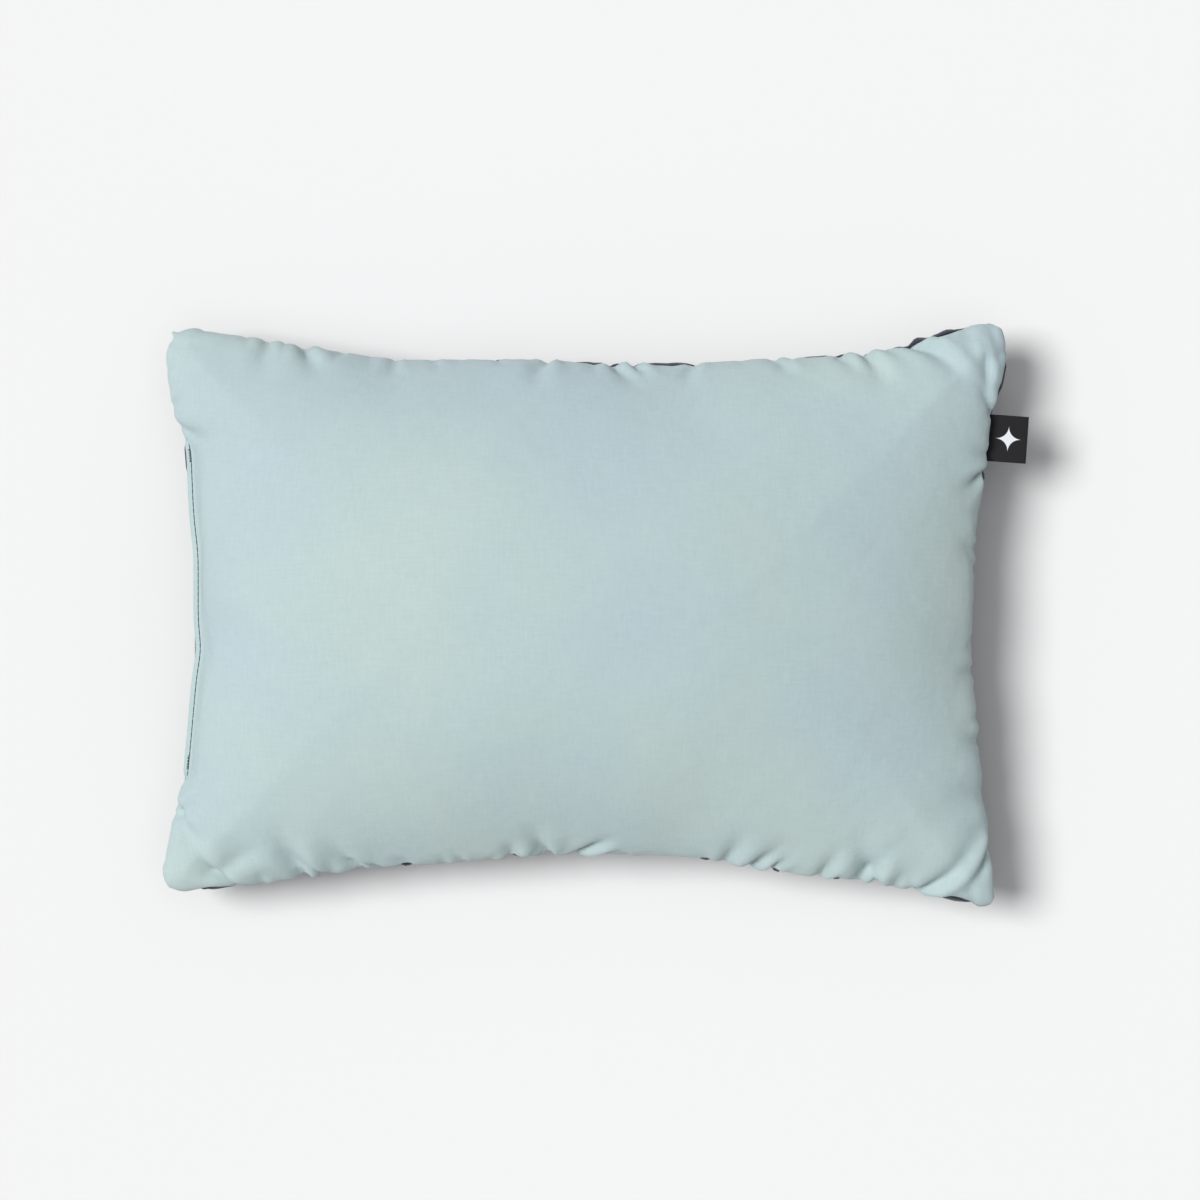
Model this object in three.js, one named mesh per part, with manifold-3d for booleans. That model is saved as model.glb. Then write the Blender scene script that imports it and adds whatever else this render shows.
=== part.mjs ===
// Camp pillow: two sewn panels around a folded fibre batt, with a zipped stow pocket in the left
// seam that the pillow packs into, and a folded woven label in the right seam.
//
// Millimetres. +X runs along the pillow's length, +Y along its width and +Z up out of the front
// panel. The origin is the middle of the flat patch that the back panel rests on.

import * as THREE from 'three';
import { mergeVertices } from 'three/addons/utils/BufferGeometryUtils.js';
import Module from 'manifold-3d';

const wasm = await Module();
wasm.setup();

// ---------------------------------------------------------------- driving dimensions

const SEAM_HEIGHT = 45; // the side seam above the ground
const CROWN_RISE = 57; // the front panel's top above the seam
const BELLY_DROP = 51; // the back panel's depth below the seam, were there no ground
const FABRIC = 0.6; // shell fabric with its brushed pile
const ALLOWANCE = 6; // seam allowance turned to the inside
const GAP = 0.3; // between pieces that touch on the real pillow

// The corners' tips, and how far each side's middle pulls in from the line between two tips.
const TIP = {
  frontLeft: [-200, -135.5],
  frontRight: [196, -142],
  backRight: [201.5, 134.5],
  backLeft: [-198, 134.5],
};
const PULL_IN = { front: 24, right: 17.5, back: 18 };
const TIP_RADIUS = 13;

// Groove round the batt that clears the turned-in allowances and their overlock thread.
const BATT_GROOVE = { inset: 4.5, shrink: 0.955, half_height: 2 };

// Cross-section of the stuffed pillow: a superellipse from the seam up to the crown.
const SECTION_RINGS = 6;
const PLAN_EXPONENT = 2.6;
const RISE_EXPONENT = 2.2;

// The stow pocket's mouth in the left seam, and the edge-stitched lips around it.
const MOUTH = { x: -181.6, half: 77.5, half_gap: 3.75, blend: 22, shoulder: -189.4 };
const LIP = { width: 2.4, thickness: 1.0, tuck: 4.7 };

// No. 3 coil zip.
const CHAIN_X = MOUTH.x - 0.8;
const COIL = { thickness: 1.3, inner: 0.15, outer: 1.75, top: 72.5, bottom: -66 };
const TAPE = { thickness: 0.5, edge: 2.05, shoulder: 3.4, width: 11, half: 77 };
const SLIDER = { y: 70.5, length: 9, half_width: 2.6, plate: 0.8, bore: 1.1, slot: 0.6 };
const PULL = { length: 12, half_width: 2.2, thickness: 0.6, offset: 2.4, pivot: -1.05 };

// Stow pocket, laid flat inside the batt.
const POCKET = { depth: 150, half: 76.5, leaf: 0.5, cavity: 0.6, flare: 2.2, flare_length: 14 };

// Woven label folded in half and sewn into the right seam.
const LABEL = { x: 191.3, y: 80.5, tilt: -4, length: 17.3, height: 22, thickness: 1.2, slit: 0.4 };

// Overlock thread and the stitches on the lips.
const THREAD_RADIUS = 0.45;
const STITCH = { radius: 0.25, half: 67.5 };
const BARTACK = { width: 1.7, length: 7, thickness: 0.5 };

// ---------------------------------------------------------------- solid helpers

// Turns a closed geometry into a manifold-3d solid.
function solid(geometry) {
  const bare = geometry.index ? geometry.toNonIndexed() : geometry.clone();
  bare.deleteAttribute('normal');
  bare.deleteAttribute('uv');
  const merged = mergeVertices(bare, 1e-4);
  return new wasm.Manifold(
    new wasm.Mesh({
      numProp: 3,
      vertProperties: merged.attributes.position.array,
      triVerts: new Uint32Array(merged.index.array),
    }),
  );
}

// Turns a manifold-3d solid back into a geometry.
function geometryOf(manifold) {
  const mesh = manifold.getMesh();
  const geometry = new THREE.BufferGeometry();
  geometry.setAttribute('position', new THREE.BufferAttribute(mesh.vertProperties, 3));
  geometry.setIndex(new THREE.BufferAttribute(mesh.triVerts, 1));
  geometry.computeVertexNormals();
  return geometry;
}

// A box from its lowest to its highest corner.
function box(low, high) {
  const size = high.map((value, axis) => value - low[axis]);
  const middle = high.map((value, axis) => (value + low[axis]) / 2);
  return new THREE.BoxGeometry(...size).translate(...middle);
}

// Extrudes a closed outline drawn in X and Z along Y, from y0 to y1.
function alongY(points, y0, y1) {
  const shape = new THREE.Shape(points.map(([x, z]) => new THREE.Vector2(x, z)));
  const geometry = new THREE.ExtrudeGeometry(shape, { depth: y1 - y0, bevelEnabled: false });
  return geometry.rotateX(Math.PI / 2).translate(0, y1, 0);
}

// Lofts a closed body through loops of equal length, with a fan to a pole at each end.
function loft(firstPole, loops, lastPole) {
  const count = loops[0].length;
  const positions = [...firstPole, ...loops.flat(2), ...lastPole];
  const last = positions.length / 3 - 1;
  const index = [];
  const at = (ring, i) => 1 + ring * count + (i % count);
  for (let i = 0; i < count; i++) {
    index.push(0, at(0, i), at(0, i + 1));
    index.push(last, at(loops.length - 1, i + 1), at(loops.length - 1, i));
  }
  for (let ring = 0; ring + 1 < loops.length; ring++) {
    for (let i = 0; i < count; i++) {
      const [a, b] = [at(ring, i), at(ring, i + 1)];
      const [c, d] = [at(ring + 1, i + 1), at(ring + 1, i)];
      index.push(a, d, c, a, c, b);
    }
  }
  const geometry = new THREE.BufferGeometry();
  geometry.setAttribute('position', new THREE.Float32BufferAttribute(positions, 3));
  geometry.setIndex(index);
  return geometry;
}

// ---------------------------------------------------------------- the pillow's outline

// One side from tip to tip, bowed inwards, with its ends cut back for the corner arcs.
function sideCurve(start, end, pullIn) {
  const a = new THREE.Vector2(...start);
  const b = new THREE.Vector2(...end);
  const along = b.clone().sub(a).normalize();
  const inward = new THREE.Vector2(-along.y, along.x);
  const middle = a.clone().add(b).multiplyScalar(0.5).addScaledVector(inward, 2 * pullIn);
  const cut = TIP_RADIUS / a.distanceTo(b);
  const whole = new THREE.QuadraticBezierCurve(a, middle, b);
  return { from: cut, to: 1 - cut, at: (t) => whole.getPoint(t) };
}

// The left side has the pocket's straight mouth, blended into bowed shoulders.
function leftSide() {
  const [topX, topY] = TIP.backLeft;
  const [bottomX, bottomY] = TIP.frontLeft;
  const shoulder = MOUTH.half + MOUTH.blend;
  const upper = new THREE.QuadraticBezierCurve(
    new THREE.Vector2(topX, topY - TIP_RADIUS),
    new THREE.Vector2((topX + MOUTH.shoulder) / 2 + 2, (topY + shoulder) / 2),
    new THREE.Vector2(MOUTH.shoulder, shoulder),
  );
  const lower = new THREE.QuadraticBezierCurve(
    new THREE.Vector2(MOUTH.shoulder, -shoulder),
    new THREE.Vector2((bottomX + MOUTH.shoulder) / 2 + 2, (bottomY - shoulder) / 2),
    new THREE.Vector2(bottomX, bottomY + TIP_RADIUS),
  );
  const step = (share) => share * share * (3 - 2 * share);
  const mix = (share) => MOUTH.shoulder + (MOUTH.x - MOUTH.shoulder) * step(share);
  const points = upper.getPoints(2).slice(0, -1);
  for (let i = 0; i < 5; i++) {
    points.push(new THREE.Vector2(mix(i / 5), shoulder - (MOUTH.blend * i) / 5));
  }
  for (let i = 0; i < 4; i++) {
    points.push(new THREE.Vector2(MOUTH.x, MOUTH.half * (1 - i / 2)));
  }
  for (let i = 0; i < 5; i++) {
    points.push(new THREE.Vector2(mix(1 - i / 5), -MOUTH.half - (MOUTH.blend * i) / 5));
  }
  return points.concat(lower.getPoints(2));
}

// Points between two curve ends round a corner, pulled towards the tip.
function corner(from, tip, to, steps) {
  const arc = new THREE.CubicBezierCurve(
    from,
    from.clone().lerp(new THREE.Vector2(...tip), 0.62),
    to.clone().lerp(new THREE.Vector2(...tip), 0.62),
    to,
  );
  return arc.getPoints(steps).slice(1, -1);
}

// Evenly spread points along a side between its two corner cuts.
function sidePoints(side, steps) {
  const share = (i) => side.from + ((side.to - side.from) * i) / steps;
  return Array.from({ length: steps + 1 }, (_, i) => side.at(share(i)));
}

// The seam's outline in plan, anticlockwise from the front left corner.
function seamOutline() {
  const front = sidePoints(sideCurve(TIP.frontLeft, TIP.frontRight, PULL_IN.front), 12);
  const right = sidePoints(sideCurve(TIP.frontRight, TIP.backRight, PULL_IN.right), 9);
  const back = sidePoints(sideCurve(TIP.backRight, TIP.backLeft, PULL_IN.back), 12);
  const left = leftSide();
  const steps = 5;
  return [
    ...front,
    ...corner(front.at(-1), TIP.frontRight, right[0], steps),
    ...right,
    ...corner(right.at(-1), TIP.backRight, back[0], steps),
    ...back,
    ...corner(back.at(-1), TIP.backLeft, left[0], steps),
    ...left,
    ...corner(left.at(-1), TIP.frontLeft, front[0], steps),
  ];
}

const OUTLINE = seamOutline();

// The outline moved inwards by a distance, along its own normals.
function inset(distance) {
  return OUTLINE.map((point, i) => {
    const before = OUTLINE.at(i - 1);
    const after = OUTLINE[(i + 1) % OUTLINE.length];
    const along = after.clone().sub(before).normalize();
    return new THREE.Vector2(point.x - along.y * distance, point.y + along.x * distance);
  });
}

// One loop of 3-D points: the outline at an inset, shrunk about the middle, at a height.
function loop(distance, shrink, z) {
  return inset(distance).map((point) => [point.x * shrink, point.y * shrink, z]);
}

// Loops from the seam to the crown. The rise is signed and its height is kept above a floor.
function dome(distance, seamZ, rise, floor) {
  const loops = [];
  for (let ring = 0; ring < SECTION_RINGS; ring++) {
    const angle = ((Math.PI / 2) * ring) / SECTION_RINGS;
    const shrink = Math.cos(angle) ** (2 / PLAN_EXPONENT);
    const share = Math.sin(angle) ** (2 / RISE_EXPONENT);
    loops.push(loop(distance, shrink, Math.max(floor, seamZ + rise * share)));
  }
  return loops;
}

// ---------------------------------------------------------------- soft pieces

// A panel's shell: outer dome, turned-in seam allowance and inner dome. side is 1 or -1.
function panelShell(side, rise) {
  const seam = SEAM_HEIGHT + (side * GAP) / 2;
  const floorOut = side > 0 ? seam : 0;
  const floorIn = side > 0 ? seam : FABRIC;
  const innerRise = rise - 2 * FABRIC;
  const innerSeam = seam + side * FABRIC;
  const outer = dome(0, seam, side * rise, floorOut).reverse();
  const inner = dome(FABRIC, innerSeam, side * innerRise, floorIn);
  const allowance = [loop(ALLOWANCE, 1, seam), loop(ALLOWANCE, 1, innerSeam)];
  const outerPole = [0, 0, Math.max(floorOut, seam + side * rise)];
  const innerPole = [0, 0, Math.max(floorIn, innerSeam + side * innerRise)];
  const loops = [...outer, ...allowance, ...inner];
  return side > 0
    ? loft(outerPole, loops, innerPole)
    : loft(innerPole, [...loops].reverse(), outerPole);
}

// Cuts the pocket's mouth into a panel and joins on the folded, edge-stitched lip.
function panel(side, rise) {
  const seam = SEAM_HEIGHT;
  const level = (height) => seam + side * height;
  const slab = (x0, x1, half, h0, h1) => {
    const [z0, z1] = [level(h0), level(h1)].sort((a, b) => a - b);
    return solid(box([x0, -half, z0], [x1, half, z1]));
  };
  const mouth = slab(-250, MOUTH.x + ALLOWANCE + 2.2, MOUTH.half, -2, MOUTH.half_gap);
  const fold = MOUTH.x - LIP.width;
  const lipTop = MOUTH.half_gap + LIP.thickness;
  const lip = slab(fold, MOUTH.x + LIP.tuck, MOUTH.half - 0.2, MOUTH.half_gap, lipTop);
  return geometryOf(solid(panelShell(side, rise)).subtract(mouth).add(lip));
}

// Fibre batt: both domes with a groove round the seam, folded round the stow pocket.
function fibreBatt() {
  const away = FABRIC * 2;
  const top = dome(away, SEAM_HEIGHT + 0.9, CROWN_RISE - 2.4, SEAM_HEIGHT).slice(1).reverse();
  const bottom = dome(away, SEAM_HEIGHT - 0.9, -(BELLY_DROP - 2.4), away).slice(1);
  const { inset: nearSeam, shrink, half_height: h } = BATT_GROOVE;
  const waist = [h, -h].map((height) => loop(nearSeam, shrink, SEAM_HEIGHT + height));
  const crown = [0, 0, SEAM_HEIGHT + 0.9 + CROWN_RISE - 2.4];
  const batt = solid(loft(crown, [...top, ...waist, ...bottom], [0, 0, away]));
  return geometryOf(batt.subtract(solid(battSlot())));
}

// The slot that the batt leaves for the zip, the lips and the pocket.
function battSlot() {
  const { flare, flare_length: flareLength, cavity, leaf, depth, half } = POCKET;
  const thin = cavity + leaf + GAP;
  const start = MOUTH.x + 2.7;
  const lipRoom = MOUTH.half_gap + LIP.thickness + 1;
  const upper = [
    [-250, lipRoom],
    [MOUTH.x + TAPE.width + 2, lipRoom],
    [start + flareLength + 6, flare + leaf + GAP],
    [start + flareLength + 12, thin],
    [start + depth + 1.5, thin],
  ];
  const lower = upper.map(([x, z]) => [x, -z]).reverse();
  const lifted = [...upper, ...lower].map(([x, z]) => [x, z + SEAM_HEIGHT]);
  return alongY(lifted.reverse(), -half - 2.5, half + 2.5);
}

// Pocket bag: two leaves lying together, flared at the mouth and closed on three sides.
function stowPocket() {
  const { depth, half, leaf, cavity, flare, flare_length: flareLength } = POCKET;
  const start = MOUTH.x + 2.7;
  const profile = (x0, x1, extra) => {
    const upper = [
      [x0, flare + extra],
      [start + flareLength / 2, flare + extra],
      [start + flareLength, cavity + extra],
      [x1, cavity + extra],
    ];
    const lower = upper.map(([x, z]) => [x, -z]).reverse();
    return [...upper, ...lower].map(([x, z]) => [x, z + SEAM_HEIGHT]).reverse();
  };
  const outside = alongY(profile(start, start + depth, leaf), -half, half);
  const hollow = alongY(profile(start - 1, start + depth - leaf, 0), -half + leaf, half - leaf);
  return geometryOf(solid(outside).subtract(solid(hollow)));
}

// Satin care label lying inside the pocket.
function careLabel() {
  const z = SEAM_HEIGHT;
  return box([MOUTH.x + 6, 30, z - 0.2], [MOUTH.x + 46, 55, z + 0.2]);
}

// Woven label folded in half, its fold pointing outwards along its own X axis.
function foldedLabel() {
  const { length, height, thickness, slit } = LABEL;
  const half = thickness / 2;
  const outline = [
    [0, -half],
    [length - half, -half],
    [length, 0],
    [length - half, half],
    [0, half],
    [0, slit / 2],
    [length - thickness, slit / 2],
    [length - thickness, -slit / 2],
    [0, -slit / 2],
  ];
  return alongY(outline, -height / 2, height / 2);
}

// ---------------------------------------------------------------- threads

// Overlock thread along the edge of the seam allowances, open at the pocket's mouth.
function overlockThread() {
  const ring = inset(ALLOWANCE + 4 * GAP + THREAD_RADIUS);
  const clear = (p) => p.x > -150 || Math.abs(p.y) > MOUTH.half + 4;
  const start = ring.findIndex((p, i) => clear(p) && !clear(ring.at(i - 1)));
  const ordered = [...ring.slice(start), ...ring.slice(0, start)].filter(clear);
  const path = new THREE.CatmullRomCurve3(
    ordered.map((p) => new THREE.Vector3(p.x, p.y, SEAM_HEIGHT)),
  );
  const section = new THREE.Shape().absarc(0, 0, THREAD_RADIUS, 0, 2 * Math.PI);
  const options = { steps: 76, curveSegments: 3, extrudePath: path, bevelEnabled: false };
  return geometryOf(solid(new THREE.ExtrudeGeometry(section, options)));
}

// Lockstitch thread along a lip, between the two bartacks.
function edgeStitching() {
  return new THREE.CylinderGeometry(STITCH.radius, STITCH.radius, 2 * STITCH.half, 8);
}

// Dense stitches that close one end of the mouth.
function bartack() {
  return new THREE.BoxGeometry(BARTACK.width, BARTACK.length, BARTACK.thickness);
}

// ---------------------------------------------------------------- zip

// Tape with its edge turned to carry the coil. side is 1 for the front, -1 for the back.
function zipTape(side) {
  const t = TAPE.thickness;
  const outline = [
    [-t / 2, TAPE.edge],
    [t / 2, TAPE.edge],
    [t / 2, TAPE.shoulder - t],
    [TAPE.width, TAPE.shoulder - t],
    [TAPE.width, TAPE.shoulder],
    [-t / 2, TAPE.shoulder],
  ].map(([x, z]) => [x, side * z]);
  return alongY(side > 0 ? outline : outline.reverse(), -TAPE.half, TAPE.half);
}

// One row of the coil.
function zipCoil(side) {
  const half = COIL.thickness / 2;
  const [z0, z1] = [side * COIL.inner, side * COIL.outer].sort((a, b) => a - b);
  return box([-half, COIL.bottom, z0], [half, COIL.top, z1]);
}

// Stops: a block on each tape above the slider, and a clamp across both rows below it.
function topStop(side) {
  const [z0, z1] = [side * 0.5, side * COIL.outer].sort((a, b) => a - b);
  return box([-0.8, 75.4, z0], [0.8, 76.9, z1]);
}
function bottomStop() {
  return box([-0.9, COIL.bottom - 3.2, -COIL.outer], [0.9, COIL.bottom - 0.3, COIL.outer]);
}

// Slider about its own middle: two plates with flanges, the dividing post and the bail.
function sliderBody() {
  const { length, half_width: w, plate, bore, slot } = SLIDER;
  const l = length / 2;
  const parts = [
    box([-bore - plate, -l, -w], [-bore, l, w]),
    box([bore, -l, -w], [bore + plate, l, w]),
    box([-bore, 2.5, -0.5], [bore, 3.9, 0.5]),
  ];
  for (const side of [-1, 1]) {
    const [z0, z1] = [side * TAPE.edge, side * w].sort((a, b) => a - b);
    parts.push(box([-bore, -l, z0], [-slot, l, z1]));
    parts.push(box([slot, -l, z0], [bore, l, z1]));
  }
  const bailFoot = -bore - plate;
  const bailTop = bailFoot - 1.55;
  parts.push(box([bailTop, -2.6, -0.7], [bailTop + 0.6, 2.6, 0.7]));
  parts.push(box([bailTop, -2.6, -0.7], [bailFoot, -2.0, 0.7]));
  parts.push(box([bailTop, 2.0, -0.7], [bailFoot, 2.6, 0.7]));
  return geometryOf(parts.map(solid).reduce((whole, piece) => whole.add(piece)));
}

// Pull tab about its pivot bar, hanging towards -Y along the chain.
function pullTab() {
  const { length, half_width: w, thickness: t } = PULL;
  const outline = new THREE.Shape();
  outline.moveTo(-w, 0.25);
  outline.lineTo(-w, -length + 1.5);
  outline.quadraticCurveTo(-w, -length, -w + 1.5, -length);
  outline.lineTo(w - 1.5, -length);
  outline.quadraticCurveTo(w, -length, w, -length + 1.5);
  outline.lineTo(w, 0.25);
  const window = new THREE.Path();
  window.moveTo(-1.05, -0.25);
  window.lineTo(1.05, -0.25);
  window.lineTo(1.05, -4.2);
  window.lineTo(-1.05, -4.2);
  outline.holes.push(window);
  const options = { depth: t, curveSegments: 3, bevelEnabled: false };
  const flat = new THREE.ExtrudeGeometry(outline, options).translate(0, 0, -t / 2);
  return flat.rotateY(Math.PI / 2);
}

// ---------------------------------------------------------------- assembly

const finishes = {
  frontFabric: { color: 0xb9cdd1, roughness: 0.85 },
  backFabric: { color: 0x1d2530, roughness: 0.85 },
  fibre: { color: 0xf2f1ec, roughness: 1 },
  pocketFabric: { color: 0x232b36, roughness: 0.7 },
  zipTape: { color: 0x1b222c, roughness: 0.9 },
  zipCoil: { color: 0x20262f, roughness: 0.4 },
  sliderMetal: { color: 0x17191c, roughness: 0.35, metalness: 0.6 },
  labelWeave: { color: 0x1d1c1f, roughness: 0.75 },
  darkThread: { color: 0x2a343b, roughness: 0.7 },
  paleThread: { color: 0xd9dcd8, roughness: 0.7 },
  careSatin: { color: 0xf4f3ef, roughness: 0.5 },
};

const pillow = new THREE.Group();

// Adds one named piece in its finish, and returns it so that it can be placed.
function add(name, geometry, finish, place = [0, 0, 0]) {
  const mesh = new THREE.Mesh(geometry, new THREE.MeshStandardMaterial(finishes[finish]));
  mesh.name = name;
  mesh.position.set(...place);
  pillow.add(mesh);
  return mesh;
}

add('front_panel', panel(1, CROWN_RISE), 'frontFabric');
add('back_panel', panel(-1, BELLY_DROP), 'backFabric');
add('fibre_filling', fibreBatt(), 'fibre');
add('stow_pocket', stowPocket(), 'pocketFabric');
add('care_label', careLabel(), 'careSatin');
add('seam_overlock_thread', overlockThread(), 'paleThread');

const chain = [CHAIN_X, 0, SEAM_HEIGHT];
add('zip_tape_front', zipTape(1), 'zipTape', chain);
add('zip_tape_back', zipTape(-1), 'zipTape', chain);
add('zip_coil_front', zipCoil(1), 'zipCoil', chain);
add('zip_coil_back', zipCoil(-1), 'zipCoil', chain);
add('zip_top_stop_front', topStop(1), 'zipCoil', chain);
add('zip_top_stop_back', topStop(-1), 'zipCoil', chain);
add('zip_bottom_stop', bottomStop(), 'zipCoil', chain);
add('zip_slider', sliderBody(), 'sliderMetal', [CHAIN_X, SLIDER.y, SEAM_HEIGHT]);
const pivot = [CHAIN_X - PULL.offset, SLIDER.y + PULL.pivot, SEAM_HEIGHT];
add('zip_pull_tab', pullTab(), 'sliderMetal', pivot);

const stitchHeight = MOUTH.half_gap + LIP.thickness + GAP + STITCH.radius;
const stitchX = MOUTH.x - 0.45;
add('edge_stitching_front', edgeStitching(), 'darkThread', [stitchX, 0, SEAM_HEIGHT + stitchHeight]);
add('edge_stitching_back', edgeStitching(), 'darkThread', [stitchX, 0, SEAM_HEIGHT - stitchHeight]);
const bartackY = STITCH.half + GAP + BARTACK.length / 2;
const bartackZ = SEAM_HEIGHT + MOUTH.half_gap + LIP.thickness + GAP + BARTACK.thickness / 2;
add('bartack_top', bartack(), 'darkThread', [stitchX - 0.2, bartackY, bartackZ]);
add('bartack_bottom', bartack(), 'darkThread', [stitchX - 0.2, -bartackY, bartackZ]);

const label = add('side_label', foldedLabel(), 'labelWeave', [LABEL.x, LABEL.y, SEAM_HEIGHT]);
label.rotation.z = THREE.MathUtils.degToRad(LABEL.tilt);

export default pillow;
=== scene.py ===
"""Camp pillow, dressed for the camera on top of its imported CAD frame.

Two brushed polyester panels are cut flat, sewn together and stuffed by a cloth simulation. The shell
is then gathered along its seam and given its pocket mouth, zip, stitches and labels. Lengths inside
the classes are millimetres, and every mesh is handed to Blender in metres.
"""

import logging
import math
from collections.abc import Sequence
from dataclasses import dataclass, field, replace
from enum import Enum

import bmesh
import bpy
import numpy as np
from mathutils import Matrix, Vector

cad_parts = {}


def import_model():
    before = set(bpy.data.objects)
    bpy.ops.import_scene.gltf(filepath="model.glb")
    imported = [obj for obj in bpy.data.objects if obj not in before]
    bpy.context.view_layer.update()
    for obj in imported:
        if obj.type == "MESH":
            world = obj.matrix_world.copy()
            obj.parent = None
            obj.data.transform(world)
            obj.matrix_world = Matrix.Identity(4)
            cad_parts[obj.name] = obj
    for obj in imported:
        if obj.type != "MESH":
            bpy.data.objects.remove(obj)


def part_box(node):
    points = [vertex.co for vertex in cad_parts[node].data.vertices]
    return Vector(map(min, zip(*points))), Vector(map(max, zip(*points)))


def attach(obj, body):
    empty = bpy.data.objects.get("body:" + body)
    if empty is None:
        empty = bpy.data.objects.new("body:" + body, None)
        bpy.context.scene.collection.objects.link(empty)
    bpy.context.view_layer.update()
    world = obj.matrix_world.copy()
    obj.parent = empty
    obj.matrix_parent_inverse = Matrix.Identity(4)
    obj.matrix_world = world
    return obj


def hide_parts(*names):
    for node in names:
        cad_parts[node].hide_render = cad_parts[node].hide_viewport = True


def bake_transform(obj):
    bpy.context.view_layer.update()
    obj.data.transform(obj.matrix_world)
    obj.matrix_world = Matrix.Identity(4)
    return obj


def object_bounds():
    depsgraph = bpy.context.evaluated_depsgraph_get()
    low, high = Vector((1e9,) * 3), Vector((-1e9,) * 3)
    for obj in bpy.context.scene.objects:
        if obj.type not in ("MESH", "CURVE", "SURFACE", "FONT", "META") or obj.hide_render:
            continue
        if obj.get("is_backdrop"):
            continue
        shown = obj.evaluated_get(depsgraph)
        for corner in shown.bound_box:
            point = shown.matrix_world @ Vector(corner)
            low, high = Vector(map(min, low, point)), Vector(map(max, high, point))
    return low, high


MM = 0.001
# Half the sewn pillow's length and width between its corners, in millimetres.
HALF_LENGTH, HALF_WIDTH = 198.0, 136.0
# Added to every flat cut's UVs, in millimetres, so that no pattern has its zero lines on a piece.
UV_SHIFT = 300.0
LOG = logging.getLogger("camp_pillow")


class Body(Enum):
    """The CAD bodies that pieces ride on."""

    PILLOW = "pillow"
    SLIDER = "zip_slider"
    PULL = "zip_pull"
    LABEL = "side_label"


class Side(Enum):
    """The sides of the pillow as it lies, seen from above with the mouth to the left."""

    FRONT = "front"
    RIGHT = "right"
    BACK = "back"
    LEFT = "left"


# ---------------------------------------------------------------------------- colours and nodes


def linear(code: str, alpha: float = 1.0) -> tuple[float, float, float, float]:
    """Turns an sRGB hex colour into linear light.

    Args:
        code: Six hex digits, such as "b9cdd1".
        alpha: The fourth channel.

    Returns:
        Red, green, blue and alpha.
    """
    parts = [int(code[i : i + 2], 16) / 255 for i in (0, 2, 4)]
    red, green, blue = (c / 12.92 if c <= 0.04045 else ((c + 0.055) / 1.055) ** 2.4 for c in parts)
    return red, green, blue, alpha


def add_node(tree: bpy.types.NodeTree, kind: str, inputs: dict | None = None, **settings: object) -> bpy.types.Node:
    """Adds one node, sets its properties and fills its inputs.

    Args:
        tree: The tree that gets the node.
        kind: The node's type name.
        inputs: Input name or number to a value, or to the output socket that feeds it.
        settings: Properties of the node.

    Returns:
        The new node.
    """
    made = tree.nodes.new(kind)
    for name, value in settings.items():
        setattr(made, name, value)
    for key, value in (inputs or {}).items():
        if isinstance(value, bpy.types.NodeSocket):
            tree.links.new(value, made.inputs[key])
        else:
            made.inputs[key].default_value = value
    return made


@dataclass(frozen=True)
class Finish:
    """A material: a name, a base colour, a roughness and the shader's own constants.

    Attributes:
        name: The material's name.
        colour: sRGB hex of the middle tone.
        roughness: Microsurface roughness.
        shader: Further Principled inputs that are the same all over.
    """

    name: str
    colour: str
    roughness: float = 0.8
    shader: dict = field(default_factory=dict)

    def material(self) -> bpy.types.Material:
        """Builds the material once, and finds it again afterwards.

        Returns:
            The material.
        """
        known = bpy.data.materials.get(self.name)
        if known is not None:
            return known
        made = bpy.data.materials.new(self.name)
        made.use_nodes = True
        made.diffuse_color = linear(self.colour)
        tree = made.node_tree
        shader = tree.nodes["Principled BSDF"]
        shader.inputs["Base Color"].default_value = linear(self.colour)
        shader.inputs["Roughness"].default_value = self.roughness
        for key, value in self.shader.items():
            shader.inputs[key].default_value = value
        self.detail(tree, shader)
        return made

    def detail(self, tree: bpy.types.NodeTree, shader: bpy.types.Node) -> None:
        """Adds the finish's own colour and relief. A plain finish has none.

        Args:
            tree: The material's tree.
            shader: Its Principled shader.
        """

    def wear(self, piece: bpy.types.Object) -> bpy.types.Object:
        """Puts this finish on a piece, in place of any it had.

        Args:
            piece: The piece.

        Returns:
            The same piece.
        """
        piece.data.materials.clear()
        piece.data.materials.append(self.material())
        return piece


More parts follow.
